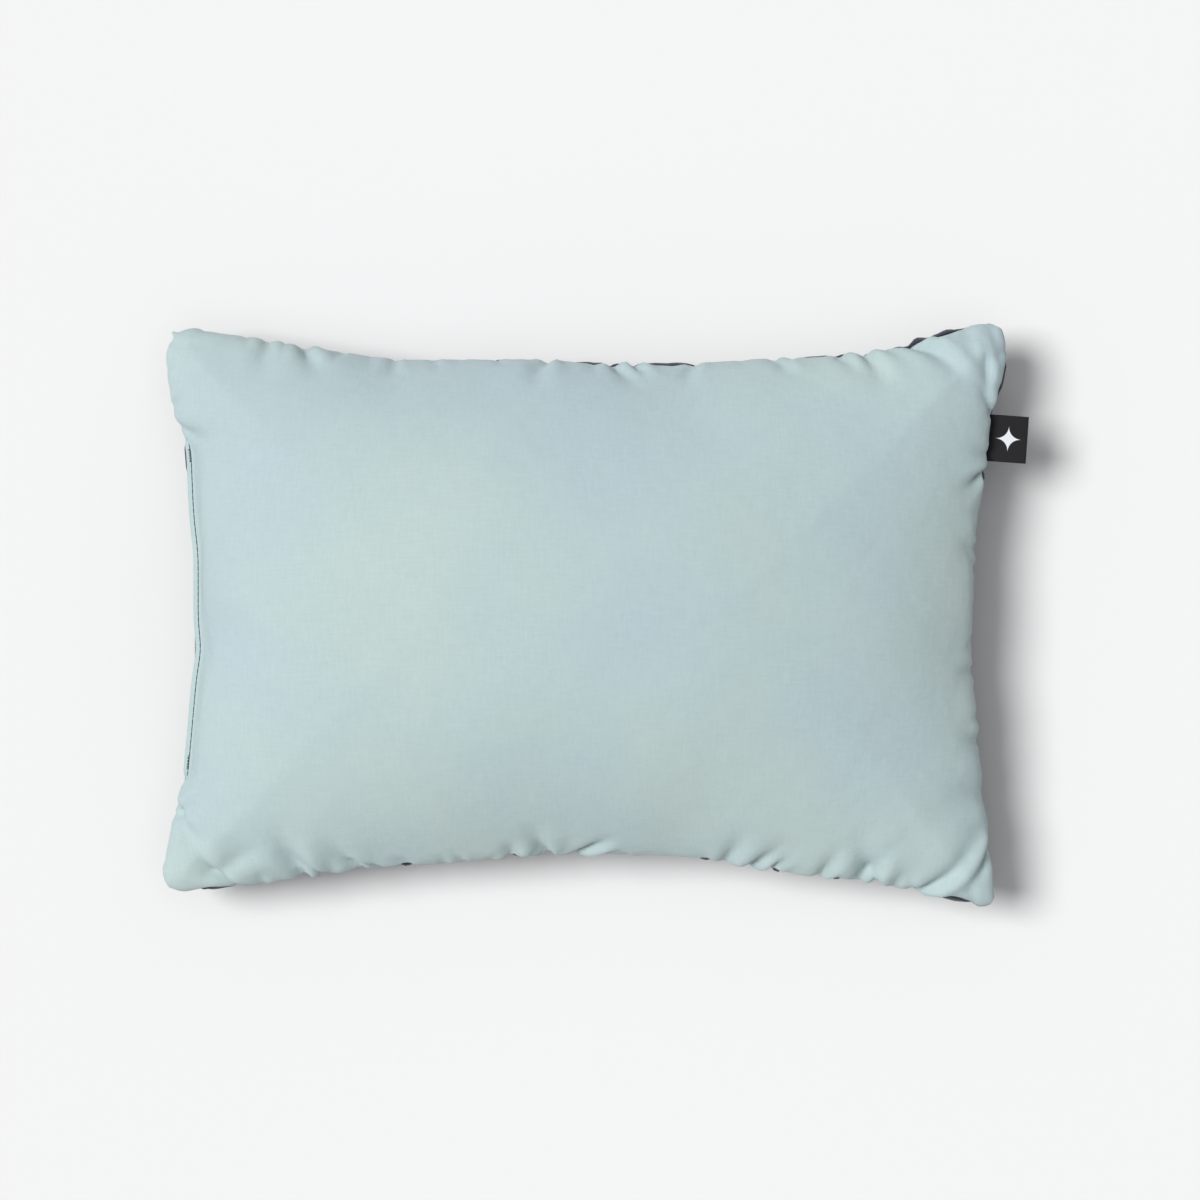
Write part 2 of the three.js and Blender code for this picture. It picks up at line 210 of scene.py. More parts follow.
@dataclass(frozen=True)
class WovenCloth(Finish):
    """Plain-woven or twill cloth on a mesh whose UV map is its flat cut in metres.

    Attributes:
        pitch: Distance between two threads, in millimetres. Real yarns lie 0.1 to 0.2 mm apart, which
            is too fine to show, so the weave is drawn three to four times coarser.
        twill: 0 for a plain weave, 1 for a diagonal one.
        relief: Height of the threads, in millimetres.
        pile: Height of the brushed nap's relief, in millimetres.
        tones: sRGB hex of the two tones that the dye drifts between, and that the painted shade runs between.
        drift: Size of that drift, in millimetres.
        slub: How much the threads' unevenness lightens and darkens the colour. Its streaks are 1.1 mm
            wide, which is coarser than the real yarns.
        rumple: Height of the soft creases left by packing, in millimetres.
        painted_shade_in_tone: Painted shade, darker towards +Y of the cut: how far the tone moves to the second
            one.
        uses_uv: True if the pattern follows the flat cut, False if it lies in the piece's own space.
    """

    pitch: float = 0.6
    twill: float = 0.0
    relief: float = 0.03
    pile: float = 0.05
    tones: tuple[str, str] = ("b3c9c9", "b1c3cb")
    drift: float = 90.0
    slub: float = 0.03
    rumple: float = 0.0
    painted_shade_in_tone: float = 0.0
    uses_uv: bool = True

    def detail(self, tree: bpy.types.NodeTree, shader: bpy.types.Node) -> None:
        """Adds threads, nap, the slow drift of the dye and a painted shade along the cut's Y axis.

        Args:
            tree: The material's tree.
            shader: Its Principled shader.
        """
        coordinates = add_node(tree, "ShaderNodeTexCoord")
        place = coordinates.outputs["UV" if self.uses_uv else "Object"]
        split = add_node(tree, "ShaderNodeSeparateXYZ", {0: place})
        turns = 2 * math.pi / (self.pitch * MM)
        lean = add_node(tree, "ShaderNodeMath", {0: split.outputs["Y"], 1: self.twill}, operation="MULTIPLY")
        along = add_node(tree, "ShaderNodeMath", {0: split.outputs["X"], 1: lean.outputs[0]}, operation="ADD")
        waves = []
        for source in (along.outputs[0], split.outputs["Y"]):
            phase = add_node(tree, "ShaderNodeMath", {0: source, 1: turns}, operation="MULTIPLY")
            waves.append(add_node(tree, "ShaderNodeMath", {0: phase.outputs[0]}, operation="SINE").outputs[0])
        weave = add_node(tree, "ShaderNodeMath", {0: waves[0], 1: waves[1]}, operation="MULTIPLY").outputs[0]

        clouds = add_node(
            tree, "ShaderNodeTexNoise", {"Vector": place, "Scale": 1 / (self.drift * MM), "Detail": 2.0}
        )
        # Painted shade: with a strength above nought the tone moves to the second tone as the cut's Y rises; the
        # clouds add the dye's drift.
        shade_and_drift_inputs = {0: split.outputs["Y"], 1: self.painted_shade_in_tone, 2: clouds.outputs["Fac"]}
        painted_shade_in_tone = add_node(tree, "ShaderNodeMath", shade_and_drift_inputs, operation="MULTIPLY_ADD")
        middle = 0.5 + self.painted_shade_in_tone * UV_SHIFT * MM
        contrast = {"Value": painted_shade_in_tone.outputs[0], "From Min": middle - 0.2, "From Max": middle + 0.2}
        tone = add_node(tree, "ShaderNodeMapRange", contrast)
        dye = add_node(
            tree,
            "ShaderNodeMix",
            {"Factor": tone.outputs[0], 6: linear(self.tones[0]), 7: linear(self.tones[1])},
            data_type="RGBA",
        )
        noises = []
        for size, detail, roughness in ((1.6, 4.0, 0.6), (16, 2.5, 0.55)):
            look = {"Vector": place, "Scale": 1 / (size * MM), "Detail": detail, "Roughness": roughness}
            noises.append(add_node(tree, "ShaderNodeTexNoise", look).outputs["Fac"])
        nap, rumple = noises
        streaks = []
        for stretch in ((0.12, 1.0, 1.0), (1.0, 0.12, 1.0)):
            laid = add_node(tree, "ShaderNodeVectorMath", {0: place, 1: stretch}, operation="MULTIPLY")
            slub = add_node(
                tree, "ShaderNodeTexNoise", {"Vector": laid.outputs[0], "Scale": 1 / (1.1 * MM), "Detail": 1.0}
            )
            streaks.append(slub.outputs["Fac"])
        slubs = add_node(tree, "ShaderNodeMath", {0: streaks[0], 1: streaks[1]}, operation="ADD")
        grain = add_node(
            tree, "ShaderNodeMath", {0: weave, 1: 0.25, 2: slubs.outputs[0]}, operation="MULTIPLY_ADD"
        )
        grain = add_node(tree, "ShaderNodeMath", {0: nap, 1: grain.outputs[0]}, operation="ADD")
        evenness = {"From Min": 0.9, "From Max": 2.1, "To Min": 1 - self.slub, "To Max": 1 + self.slub}
        shade = add_node(tree, "ShaderNodeMapRange", {"Value": grain.outputs[0], **evenness})
        both = {0: dye.outputs[2], 1: shade.outputs[0]}
        tinted = add_node(tree, "ShaderNodeVectorMath", both, operation="MULTIPLY")
        tree.links.new(tinted.outputs[0], shader.inputs["Base Color"])

        relief = {}
        for height, distance in ((weave, self.relief), (rumple, self.rumple), (nap, self.pile)):
            bump = {"Height": height, "Distance": distance * MM, "Strength": 1.0, **relief}
            relief = {"Normal": add_node(tree, "ShaderNodeBump", bump).outputs[0]}
        tree.links.new(relief["Normal"], shader.inputs["Normal"])


@dataclass(frozen=True)
class Grained(Finish):
    """A finish whose colour and relief come from fine noise, such as thread, fibre or cast metal.

    Attributes:
        grain: Size of the grain, in millimetres.
        relief: Height of the grain, in millimetres.
        second: sRGB hex of the colour that the grain drifts to.
    """

    grain: float = 0.4
    relief: float = 0.02
    second: str = "808080"

    def detail(self, tree: bpy.types.NodeTree, shader: bpy.types.Node) -> None:
        """Adds the grain's colour and relief.

        Args:
            tree: The material's tree.
            shader: Its Principled shader.
        """
        place = add_node(tree, "ShaderNodeTexCoord").outputs["Object"]
        noise = add_node(
            tree, "ShaderNodeTexNoise", {"Vector": place, "Scale": 1 / (self.grain * MM), "Detail": 3.0}
        )
        mixed = add_node(
            tree,
            "ShaderNodeMix",
            {"Factor": noise.outputs["Fac"], 6: linear(self.colour), 7: linear(self.second)},
            data_type="RGBA",
        )
        tree.links.new(mixed.outputs[2], shader.inputs["Base Color"])
        height = {"Height": noise.outputs["Fac"], "Distance": self.relief * MM, "Strength": 1.0}
        bump = add_node(tree, "ShaderNodeBump", height)
        tree.links.new(bump.outputs[0], shader.inputs["Normal"])


@dataclass(frozen=True)
class StarLabel(WovenCloth):
    """Damask label cloth with a pale four-pointed star, on UVs measured from the label's root.

    Attributes:
        centre: The star's middle on the UV map, in millimetres.
        radius: Distance from its middle to a point, in millimetres.
        star: sRGB hex of the star.
    """

    centre: tuple[float, float] = (8.2, 0.0)
    radius: float = 6.0
    star: str = "e6e9ef"

    def detail(self, tree: bpy.types.NodeTree, shader: bpy.types.Node) -> None:
        """Weaves the star into the cloth's colour.

        Args:
            tree: The material's tree.
            shader: Its Principled shader.
        """
        super().detail(tree, shader)
        ground = shader.inputs["Base Color"].links[0].from_socket
        place = add_node(tree, "ShaderNodeTexCoord").outputs["UV"]
        middle = (self.centre[0] * MM, self.centre[1] * MM, 0)
        moved = add_node(tree, "ShaderNodeVectorMath", {0: place, 1: middle}, operation="SUBTRACT")
        in_radii = {0: moved.outputs[0], "Scale": 1 / (self.radius * MM)}
        scaled = add_node(tree, "ShaderNodeVectorMath", in_radii, operation="SCALE")
        split = add_node(tree, "ShaderNodeSeparateXYZ", {0: scaled.outputs[0]})
        arms, slimness = [], 0.55
        for axis in ("X", "Y"):
            size = add_node(tree, "ShaderNodeMath", {0: split.outputs[axis]}, operation="ABSOLUTE")
            arms.append(add_node(tree, "ShaderNodeMath", {0: size.outputs[0], 1: slimness}, operation="POWER"))
        both = {number: arm.outputs[0] for number, arm in enumerate(arms)}
        reach = add_node(tree, "ShaderNodeMath", both, operation="ADD")
        inside = add_node(
            tree,
            "ShaderNodeMapRange",
            {"Value": reach.outputs[0], "From Min": 1.03, "From Max": 0.99, "To Min": 0.0, "To Max": 1.0},
        )
        mixed = add_node(
            tree,
            "ShaderNodeMix",
            {"Factor": inside.outputs[0], 6: ground, 7: linear(self.star)},
            data_type="RGBA",
        )
        tree.links.new(mixed.outputs[2], shader.inputs["Base Color"])


# Brushed polyester, woven and napped: a short matt nap over a fine weave, so highlights are wide
# and edges glow softly.
FRONT_FABRIC = WovenCloth(
    "brushed polyester, aqua",
    "b2c7c9",
    0.9,
    {"Sheen Weight": 0.18, "Sheen Roughness": 0.5, "Specular IOR Level": 0.25},
    tones=("b6c8c5", "b0c3c8"),
    slub=0.05,
    rumple=0.5,
    # Painted shade: the front panel is coloured darker towards +Y, its back edge, and lighter towards -Y.
    painted_shade_in_tone=0.5,
)
BACK_FABRIC = WovenCloth(
    "brushed polyester, navy",
    "1c2632",
    0.85,
    {"Sheen Weight": 0.12, "Sheen Roughness": 0.5, "Specular IOR Level": 0.3},
    tones=("1a2430", "202b37"),
    slub=0.08,
    rumple=0.5,
)
# Hollow polyester fibre, carded into a batt: white, soft-edged and cloudy.
FIBRE = Grained("hollow fibre", "f3f2ed", 1.0, {"Sheen Weight": 0.3}, grain=3.0, relief=0.8, second="e2e1dc")
# Nylon lining: smooth filament yarn, so it is glossier than the shell.
LINING = WovenCloth(
    "nylon lining", "232b36", 0.5, {"Specular IOR Level": 0.5}, pitch=0.5, pile=0.01, tones=("222a35", "27303c")
)
# Woven polyester zip tape: a close twill, so it stays matt and shows fine diagonal ribs.
TAPE = WovenCloth(
    "zip tape", "1b222c", 0.9, pitch=0.5, twill=1.0, relief=0.05, pile=0.02, tones=("1a212b", "1f2731"),
    uses_uv=False,
)  # fmt: skip
# Extruded polyester monofilament: smooth and hard, so each turn carries a small highlight.
COIL = Grained(
    "polyester coil", "20262f", 0.38, {"Specular IOR Level": 0.5}, grain=0.6, relief=0.004, second="262d37"
)
# Die-cast zinc, black painted: half gloss under a clear coat, with softly rounded edges.
METAL = Grained(
    "black painted zinc", "17191c", 0.34, {"Metallic": 0.5, "Coat Weight": 0.3}, grain=0.5, relief=0.006,
    second="202327",
)  # fmt: skip
# Spun polyester sewing thread: matt, slightly hairy, a shade darker where its plies meet.
DARK_THREAD = Grained(
    "sewing thread, slate", "162128", 0.7, {"Sheen Weight": 0.1}, grain=0.25, relief=0.03, second="25333b"
)
# Textured polyester overlock thread: undyed, softer and fuller than the sewing thread.
PALE_THREAD = Grained(
    "overlock thread", "d9dcd8", 0.8, {"Sheen Weight": 0.2}, grain=0.25, relief=0.03, second="c4c8c3"
)
# Woven satin ribbon: long floats, so it is smoother and brighter than any cloth round it.
SATIN = Grained("satin ribbon", "f4f3ef", 0.45, {"Sheen Weight": 0.2}, grain=0.3, relief=0.01, second="e8e7e2")
# Damask-woven polyester label: a dense fine weave, near black, with the mark in white weft.
LABEL_WEAVE = StarLabel(
    "damask label", "1a191c", 0.7, {"Specular IOR Level": 0.3}, pitch=0.45, relief=0.04, pile=0.01,
    tones=("18171a", "1e1d20"),
)  # fmt: skip


# ---------------------------------------------------------------------------- meshes


def mesh_piece(
    name: str,
    points: np.ndarray,
    faces: Sequence[Sequence[int]],
    finish: Finish,
    uv: np.ndarray | None = None,
) -> bpy.types.Object:
    """Makes a smooth mesh object at the origin.

    Args:
        name: The piece's name.
        points: Its points, in millimetres.
        faces: Point numbers of each face.
        finish: What it wears.
        uv: One UV pair for each point, in millimetres, if it has a flat cut.

    Returns:
        The object, linked to the scene.
    """
    mesh = bpy.data.meshes.new(name)
    mesh.from_pydata((np.asarray(points) * MM).tolist(), [], [list(map(int, f)) for f in faces])
    if uv is not None:
        layer = mesh.uv_layers.new(name="cut")
        corners = np.empty(len(mesh.loops), dtype=np.int32)
        mesh.loops.foreach_get("vertex_index", corners)
        layer.data.foreach_set("uv", (uv[corners] * MM).ravel())
    mesh.polygons.foreach_set("use_smooth", [True] * len(mesh.polygons))
    mesh.update()
    piece = bpy.data.objects.new(name, mesh)
    bpy.context.scene.collection.objects.link(piece)
    return finish.wear(piece)


def settle_piece(piece: bpy.types.Object, body: Body, slot: str, *nodes: str) -> bpy.types.Object:
    """Parents a finished piece to the body that it rides on, and hides the CAD nodes that it stands for.

    Args:
        piece: The piece, in place.
        body: The CAD body that carries it.
        slot: The record's material slot. Not used.
        nodes: The CAD nodes that it replaces.

    Returns:
        The same piece.
    """
    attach(piece, body.value)
    if nodes:
        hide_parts(*nodes)
    LOG.info("%s: %d faces, rides on %s", piece.name, len(piece.data.polygons), body.value)
    return piece


def baked(piece: bpy.types.Object) -> bpy.types.Object:
    """Turns a piece with modifiers, or a curve, into a plain mesh piece of the same name.

    Args:
        piece: The piece, which is removed.

    Returns:
        The plain piece.
    """
    graph = bpy.context.evaluated_depsgraph_get()
    mesh = bpy.data.meshes.new_from_object(piece.evaluated_get(graph))
    name = piece.name
    bpy.data.objects.remove(piece)
    made = bpy.data.objects.new(name, mesh)
    bpy.context.scene.collection.objects.link(made)
    return made


def grid_faces(numbers: np.ndarray, flip: bool = False) -> list[tuple[int, int, int, int]]:
    """Quads between the points of a numbered grid.

    Args:
        numbers: Point numbers, one row for each row of the grid.
        flip: True to turn the faces over.

    Returns:
        The quads.
    """
    a, b, c, d = numbers[:-1, :-1], numbers[:-1, 1:], numbers[1:, 1:], numbers[1:, :-1]
    order = (d, c, b, a) if flip else (a, b, c, d)
    return [tuple(q) for q in np.stack(order, axis=-1).reshape(-1, 4)]


def refined(grid: np.ndarray, factor: int) -> np.ndarray:
    """Puts more points into a grid along smooth curves through the old ones.

    Args:
        grid: Rows by columns by channels.
        factor: New intervals for each old one.

    Returns:
        The finer grid.
    """

    def along_rows(points: np.ndarray) -> np.ndarray:
        """Refines a grid along its first axis only.

        Args:
            points: The grid.

        Returns:
            The finer grid.
        """
        last = len(points) - 1
        place = np.arange(last * factor + 1) / factor
        at = np.minimum(place.astype(int), last - 1)
        t = (place - at)[:, None, None]
        b, c = points[at], points[at + 1]
        a = np.where((at > 0)[:, None, None], points[np.maximum(at - 1, 0)], 2 * b - c)
        d = np.where((at < last - 1)[:, None, None], points[np.minimum(at + 2, last)], 2 * c - b)
        return 0.5 * (2 * b + (c - a) * t + (2 * a - 5 * b + 4 * c - d) * t**2 + (3 * b - a - 3 * c + d) * t**3)

    return along_rows(along_rows(grid).transpose(1, 0, 2)).transpose(1, 0, 2)


def smooth_step(value: np.ndarray) -> np.ndarray:
    """Eases from 0 to 1 as the value goes from 0 to 1."""
    value = np.clip(value, 0, 1)
    return value * value * (3 - 2 * value)


def through(stations: Sequence[tuple[float, float]], at: np.ndarray) -> np.ndarray:
    """A smooth line through stations, read at any places.

    Args:
        stations: Pairs of place and value, in rising order of place.
        at: Where to read it.

    Returns:
        The values, held level beyond the ends.
    """
    samples, width = 400, 41
    places, values = np.array(stations).T
    fine = np.linspace(places[0], places[-1], samples)
    plain = np.interp(fine, places, values)
    window = np.hanning(width)
    padded = np.pad(plain, width // 2, mode="reflect", reflect_type="odd")
    return np.interp(at, fine, np.convolve(padded, window / window.sum(), mode="valid"))


# ---------------------------------------------------------------------------- the sewn shell


@dataclass(frozen=True)
class PanelCut:
    """One panel as it leaves the cutting table, seam line to seam line."""

    length: float = 420.0
    width: float = 296.0
    corner: float = 16.0
    step: float = 6.0

    @property
    def shape(self) -> tuple[int, int]:
        """Rows and columns of intervals."""
        return round(self.width / self.step), round(self.length / self.step)

    def flat(self) -> np.ndarray:
        """Lays out the cut's grid of points with its rounded corners.

        Returns:
            Rows by columns by 2.
        """
        rows, columns = self.shape
        x, y = np.meshgrid(
            np.linspace(-self.length / 2, self.length / 2, columns + 1),
            np.linspace(-self.width / 2, self.width / 2, rows + 1),
        )
        across = (np.abs(x) - (self.length / 2 - self.corner)) / self.corner
        up = (np.abs(y) - (self.width / 2 - self.corner)) / self.corner
        bent = (across > 0) & (up > 0)
        round_x = across * np.sqrt(np.maximum(1 - up**2 / 2, 0))
        round_y = up * np.sqrt(np.maximum(1 - across**2 / 2, 0))
        x = np.where(bent, np.sign(x) * (self.length / 2 + (round_x - 1) * self.corner), x)
        y = np.where(bent, np.sign(y) * (self.width / 2 + (round_y - 1) * self.corner), y)
        return np.stack([x, y], axis=-1)


@dataclass
class Shell:
    """Both panels as grids of points, joined along their edges. Millimetres.

    Attributes:
        front: The front panel, rows by columns by 3.
        back: The back panel, in the same order.
        flat: Their common flat cut, rows by columns by 2.
        corner: Radius of the cut's corners.
    """

    front: np.ndarray
    back: np.ndarray
    flat: np.ndarray
    corner: float = 16.0

    def from_seam(self) -> np.ndarray:
        """Measures how far each point lies from the seam, on the flat cut with its rounded corners.

        Returns:
            One distance for each point.
        """
        past = np.abs(self.flat) - (np.abs(self.flat).max(axis=(0, 1)) - self.corner)
        round_part = np.linalg.norm(np.maximum(past, 0), axis=-1)
        return np.maximum(self.corner - round_part - np.minimum(past.max(axis=-1), 0), 0)

    def numbered(self) -> tuple[np.ndarray, np.ndarray, int]:
        """Numbers the points of both panels, which share the numbers along the seam.

        Returns:
            The front panel's numbers, the back panel's, and how many there are.
        """
        rows, columns = self.flat.shape[:2]
        front = np.arange(rows * columns).reshape(rows, columns)
        back = front.copy()
        inner = (rows - 2) * (columns - 2)
        back[1:-1, 1:-1] = rows * columns + np.arange(inner).reshape(rows - 2, columns - 2)
        return front, back, rows * columns + inner

    def calm(self, rounds: int = 12, corner: float = 55.0) -> None:
        """Smooths short waves that run along the seams, and leaves the cross-section as it is.

        Args:
            rounds: How often it smooths.
            corner: Distance from a corner over which it fades out.
        """
        half = np.abs(self.flat).max(axis=(0, 1))
        for axis, channel in ((1, 0), (0, 1)):
            share = smooth_step((half[channel] - np.abs(self.flat[..., channel])) / corner)[..., None]
            for grid in (self.front, self.back):
                for _ in range(rounds):
                    rim = [(axis == 0, axis == 0), (axis == 1, axis == 1), (0, 0)]
                    wide = np.pad(grid, rim, mode="reflect", reflect_type="odd")
                    low, high = (wide[:-2], wide[2:]) if axis == 0 else (wide[:, :-2], wide[:, 2:])
                    grid += share * 0.5 * ((low + high) / 2 - grid)

    def normals(self, grid: np.ndarray, outward: float) -> np.ndarray:
        """Unit normals of a panel's grid.

        Args:
            grid: The panel.
            outward: 1 for the front panel, -1 for the back.

        Returns:
            One normal for each point.
        """
        normal = np.cross(np.gradient(grid, axis=1), np.gradient(grid, axis=0)) * outward
        return normal / np.maximum(np.linalg.norm(normal, axis=-1, keepdims=True), 1e-9)


@dataclass(frozen=True)
class Stuffing:
    """Sews the two cuts together and fills them, by cloth simulation.

    Fibre presses hardest on the rim, where the panels hold it back, and least in the middle, where
    the batt lies at its own thickness. The seam is drawn up a little by its thread.

    Attributes:
        pressure: The fibre's push, as the cloth modifier counts it.
        middle_share: Share of it that the middle feels.
        rim: Width of the rim that feels all of it.
        fade: Width over which it falls to the middle's share.
        seam_take_up: Share by which the thread shortens the seam.
        tension: Stiffness of the cloth against stretching.
        compression: Stiffness against shortening.
        shear: Stiffness against skewing.
        bending: Stiffness against folding.
        frames: Length of the simulation.
    """

    pressure: float = 8.0
    middle_share: float = 0.9
    rim: float = 45.0
    fade: float = 30.0
    seam_take_up: float = 0.04
    tension: float = 40.0
    compression: float = 1.0
    shear: float = 2.0
    bending: float = 0.3
    frames: int = 60

    def fill(self, cut: PanelCut) -> Shell:
        """Sews and stuffs a shell.

        Args:
            cut: The panels' cut.

        Returns:
            The stuffed shell.
        """
        flat = cut.flat()
        shell = Shell(np.zeros((*flat.shape[:2], 3)), np.zeros((*flat.shape[:2], 3)), flat)
        apart = 1 + 3 * np.minimum(1, shell.from_seam() / 40)
        apart[shell.from_seam() <= 0] = 0
        apart[[0, -1], :] = 0
        apart[:, [0, -1]] = 0
        shell.front[..., :2] = shell.back[..., :2] = flat
        shell.front[..., 2], shell.back[..., 2] = apart, -apart
        return self.simulated(shell)

    def simulated(self, shell: Shell) -> Shell:
        """Runs the cloth simulation.

        Args:
            shell: The flat shell.

        Returns:
            The stuffed shell.
        """
        front, back, count = shell.numbered()
        points = np.zeros((count, 3))
        points[back.ravel()] = shell.back.reshape(-1, 3)
        points[front.ravel()] = shell.front.reshape(-1, 3)
        faces = grid_faces(front) + grid_faces(back, flip=True)
        cover = mesh_piece("cover to stuff", points, faces, FRONT_FABRIC)
        depth = np.zeros(count)
        depth[back.ravel()] = depth[front.ravel()] = shell.from_seam().ravel()
        share = 1 + (self.middle_share - 1) * smooth_step((depth - self.rim) / self.fade)
        pressing = cover.vertex_groups.new(name="pressing")
        for number, weight in enumerate(share):
            pressing.add([number], float(weight), "REPLACE")
        seam = cover.vertex_groups.new(name="seam")
        edge = np.concatenate([front[0], front[-1], front[:, 0], front[:, -1]])
        seam.add([int(n) for n in np.unique(edge)], 1.0, "REPLACE")

        cloth = cover.modifiers.new("stuffing", "CLOTH")
        rules = cloth.settings
        rules.quality = 6
        rules.mass = 0.3
        rules.tension_stiffness = self.tension
        rules.compression_stiffness = self.compression
        rules.shear_stiffness = self.shear
        rules.bending_stiffness = self.bending
        rules.tension_damping = rules.compression_damping = rules.shear_damping = 2.0
        rules.air_damping = 6.0
        rules.use_pressure = True
        rules.uniform_pressure_force = self.pressure
        rules.vertex_group_pressure = pressing.name
        rules.vertex_group_shrink = seam.name
        rules.shrink_min = 0.0
        rules.shrink_max = self.seam_take_up
        rules.effector_weights.gravity = 0.0
        cloth.collision_settings.use_collision = False
        cloth.point_cache.frame_start, cloth.point_cache.frame_end = 1, self.frames
        scene = bpy.context.scene
        for frame_number in range(1, self.frames + 1):
            scene.frame_set(frame_number)
        graph = bpy.context.evaluated_depsgraph_get()
        stuffed = cover.evaluated_get(graph).data
        flat_points = np.empty(count * 3)
        stuffed.vertices.foreach_get("co", flat_points)
        points = flat_points.reshape(-1, 3) / MM
        scene.frame_set(1)
        bpy.data.objects.remove(cover)
        return Shell(points[front], points[back], shell.flat)


@dataclass(frozen=True)
class Outline:
    """The finished seam's line in plan, by stations in millimetres along each side."""

    back: tuple = (
        (-196, 133.6), (-157, 128.5), (-125, 122.5), (-87, 117.4), (-30, 117.6), (15, 115.8),
        (60, 116.3), (110, 119.6), (140, 121.5), (165, 130.0), (188, 136.4), (197, 135.6),
    )  # fmt: skip
    front: tuple = (
        (-196, -135.0), (-157, -130.8), (-125, -125.2), (-100, -121.9), (-58, -119.4), (-10, -114.8),
        (45, -116.4), (75, -121.2), (105, -126.0), (140, -129.4), (165, -136.0), (192, -141.8),
    )  # fmt: skip
    left: tuple = (
        (-129, -200.2), (-105, -195.2), (-85, -190.3), (-60, -187.9), (-32, -185.4), (-19, -183.2),
        (-6, -184.6), (25, -184.6), (45, -186.8), (76, -188.2), (92, -193.2), (114, -197.5), (129, -196.6),
    )  # fmt: skip
    right: tuple = (
        (-136, 194.6), (-120, 192.3), (-95, 189.0), (-70, 186.0), (-20, 181.7), (10, 183.0),
        (40, 184.4), (60, 188.8), (69, 189.8), (80, 191.0), (91, 192.2), (98, 195.4), (114, 200.4),
        (128, 200.4),
    )  # fmt: skip

    def fit(self, shell: Shell) -> None:
        """Eases a stuffed shell onto this outline, keeping its small waves.

        Args:
            shell: The shell, which is changed.
        """
        rounds = 3
        for _ in range(rounds):
            for axis, low, high in ((0, self.left, self.right), (1, self.front, self.back)):
                self.ease(shell, axis, low, high)

    def ease(self, shell: Shell, axis: int, low: tuple, high: tuple) -> None:
        """Moves points along one axis so that the seam's low and high sides meet their lines.

        Args:
            shell: The shell, which is changed.
            axis: 0 for X, 1 for Y.
            low: Stations of the side at the axis's low end.
            high: Stations of the side at its high end.
        """
        edges = {
            0: (shell.front[:, 0], shell.front[:, -1]),
            1: (shell.front[0], shell.front[-1]),
        }[axis]
        other = 1 - axis
        for edge, stations, sign in ((edges[0].copy(), low, -1), (edges[1].copy(), high, 1)):
            order = np.argsort(edge[:, other])
            places, values = edge[order, other], edge[order, axis]
            window = np.hanning(9)
            values = np.convolve(np.pad(values, 4, mode="edge"), window / window.sum(), mode="valid")
            for grid in (shell.front, shell.back):
                seam = np.interp(grid[..., other], places, values)
                miss = through(stations, grid[..., other]) - seam
                share = np.clip(sign * grid[..., axis] / np.abs(seam), 0, 1.1) ** 2
                grid[..., axis] += np.where(sign * grid[..., axis] > 0, miss * share, 0)


@dataclass(frozen=True)
class Lie:
    """How the pillow lies: its seam's height, its crown, and the belly that the ground flattens.

    Attributes:
        seam: Height of the seam.
        crown: Height of the top.
        belly: How far the back panel would hang below the seam if nothing held it.
        soft: How softly the ground's flat turns up into the belly.
        droop: How far the corners sink below the seam's height.
        shoulder: Power that gives the front panel its wide, soft shoulders.
        hang: The same for the back panel.
        fall: Share by which the front lowers towards +X.
        fall_start: Where that begins, on the flat cut.
        fall_length: Length over which it takes full effect.
        plumpness: Least thickness of the rim, for the square root of the distance from the seam.
    """

    seam: float
    crown: float
    belly: float = 51.0
    soft: float = 2.5
    droop: float = 5.0
    shoulder: float = 1.45
    hang: float = 1.1
    fall: float = 0.24
    fall_start: float = 40.0
    fall_length: float = 170.0
    plumpness: float = 3.2

    def settle(self, shell: Shell) -> None:
        """Scales the panels' rise, lets the corners droop and presses the belly flat.

        Args:
            shell: The shell, which is changed.
        """
        ahead = smooth_step((shell.flat[..., 0] - self.fall_start) / self.fall_length)
        for grid, side, rise in ((shell.front, 1, self.crown - self.seam), (shell.back, -1, self.belly)):
            share = np.clip(side * grid[..., 2] / (side * grid[..., 2]).max(), 0, 1)
            grid[..., 2] = side * rise * share ** (self.shoulder if side > 0 else self.hang)
        risen = np.clip(shell.front[..., 2] / (self.crown - self.seam), 0, 1)
        shell.front[..., 2] *= 1 - self.fall * ahead * risen
        for grid in (shell.front, shell.back):
            across = (np.abs(grid[..., 0]) / HALF_LENGTH) ** 3
            up = (np.abs(grid[..., 1]) / HALF_WIDTH) ** 3
            grid[..., 2] += self.seam - self.droop * across * up
        self.plump(shell)
        height = shell.back[..., 2]
        near_ground = 25
        pressed = 0.5 * (height + np.sqrt(height**2 + self.soft**2))
        lowered = pressed - pressed.min() * (1 - height / near_ground)
        shell.back[..., 2] = np.where(height < near_ground, lowered, height)

    def plump(self, shell: Shell) -> None:
        """Rounds the rim where the corners would end in a thin edge.

        Args:
            shell: The shell, which is changed.
        """
        least = self.plumpness * np.sqrt(shell.from_seam())
        edge = np.zeros(least.shape, dtype=bool)
        edge[[0, -1], :] = edge[:, [0, -1]] = True
        level = (shell.front[..., 2] + shell.back[..., 2]) / 2
        for grid, side in ((shell.front, 1), (shell.back, -1)):
            rise = np.maximum(side * (grid[..., 2] - level), 0)
            fuller = (rise**4 + least**4) ** 0.25
            grid[..., 2] = np.where(edge, grid[..., 2], level + side * fuller)


@dataclass(frozen=True)
class Pucker:
    """A short fold that runs in from the seam.

    Attributes:
        side: The side it starts on.
        at: Millimetres along that side from the pillow's middle.
        reach: Its length on the cloth.
        width: Half its width at the seam.
        depth: How far it sinks.
        lean: Degrees that it leans towards +X, or +Y on the short sides.
        inset: Distance from the seam to its start.
    """

    side: Side
    at: float
    reach: float = 34.0
    width: float = 5.0
    depth: float = 2.2
    lean: float = 0.0
    inset: float = 0.0


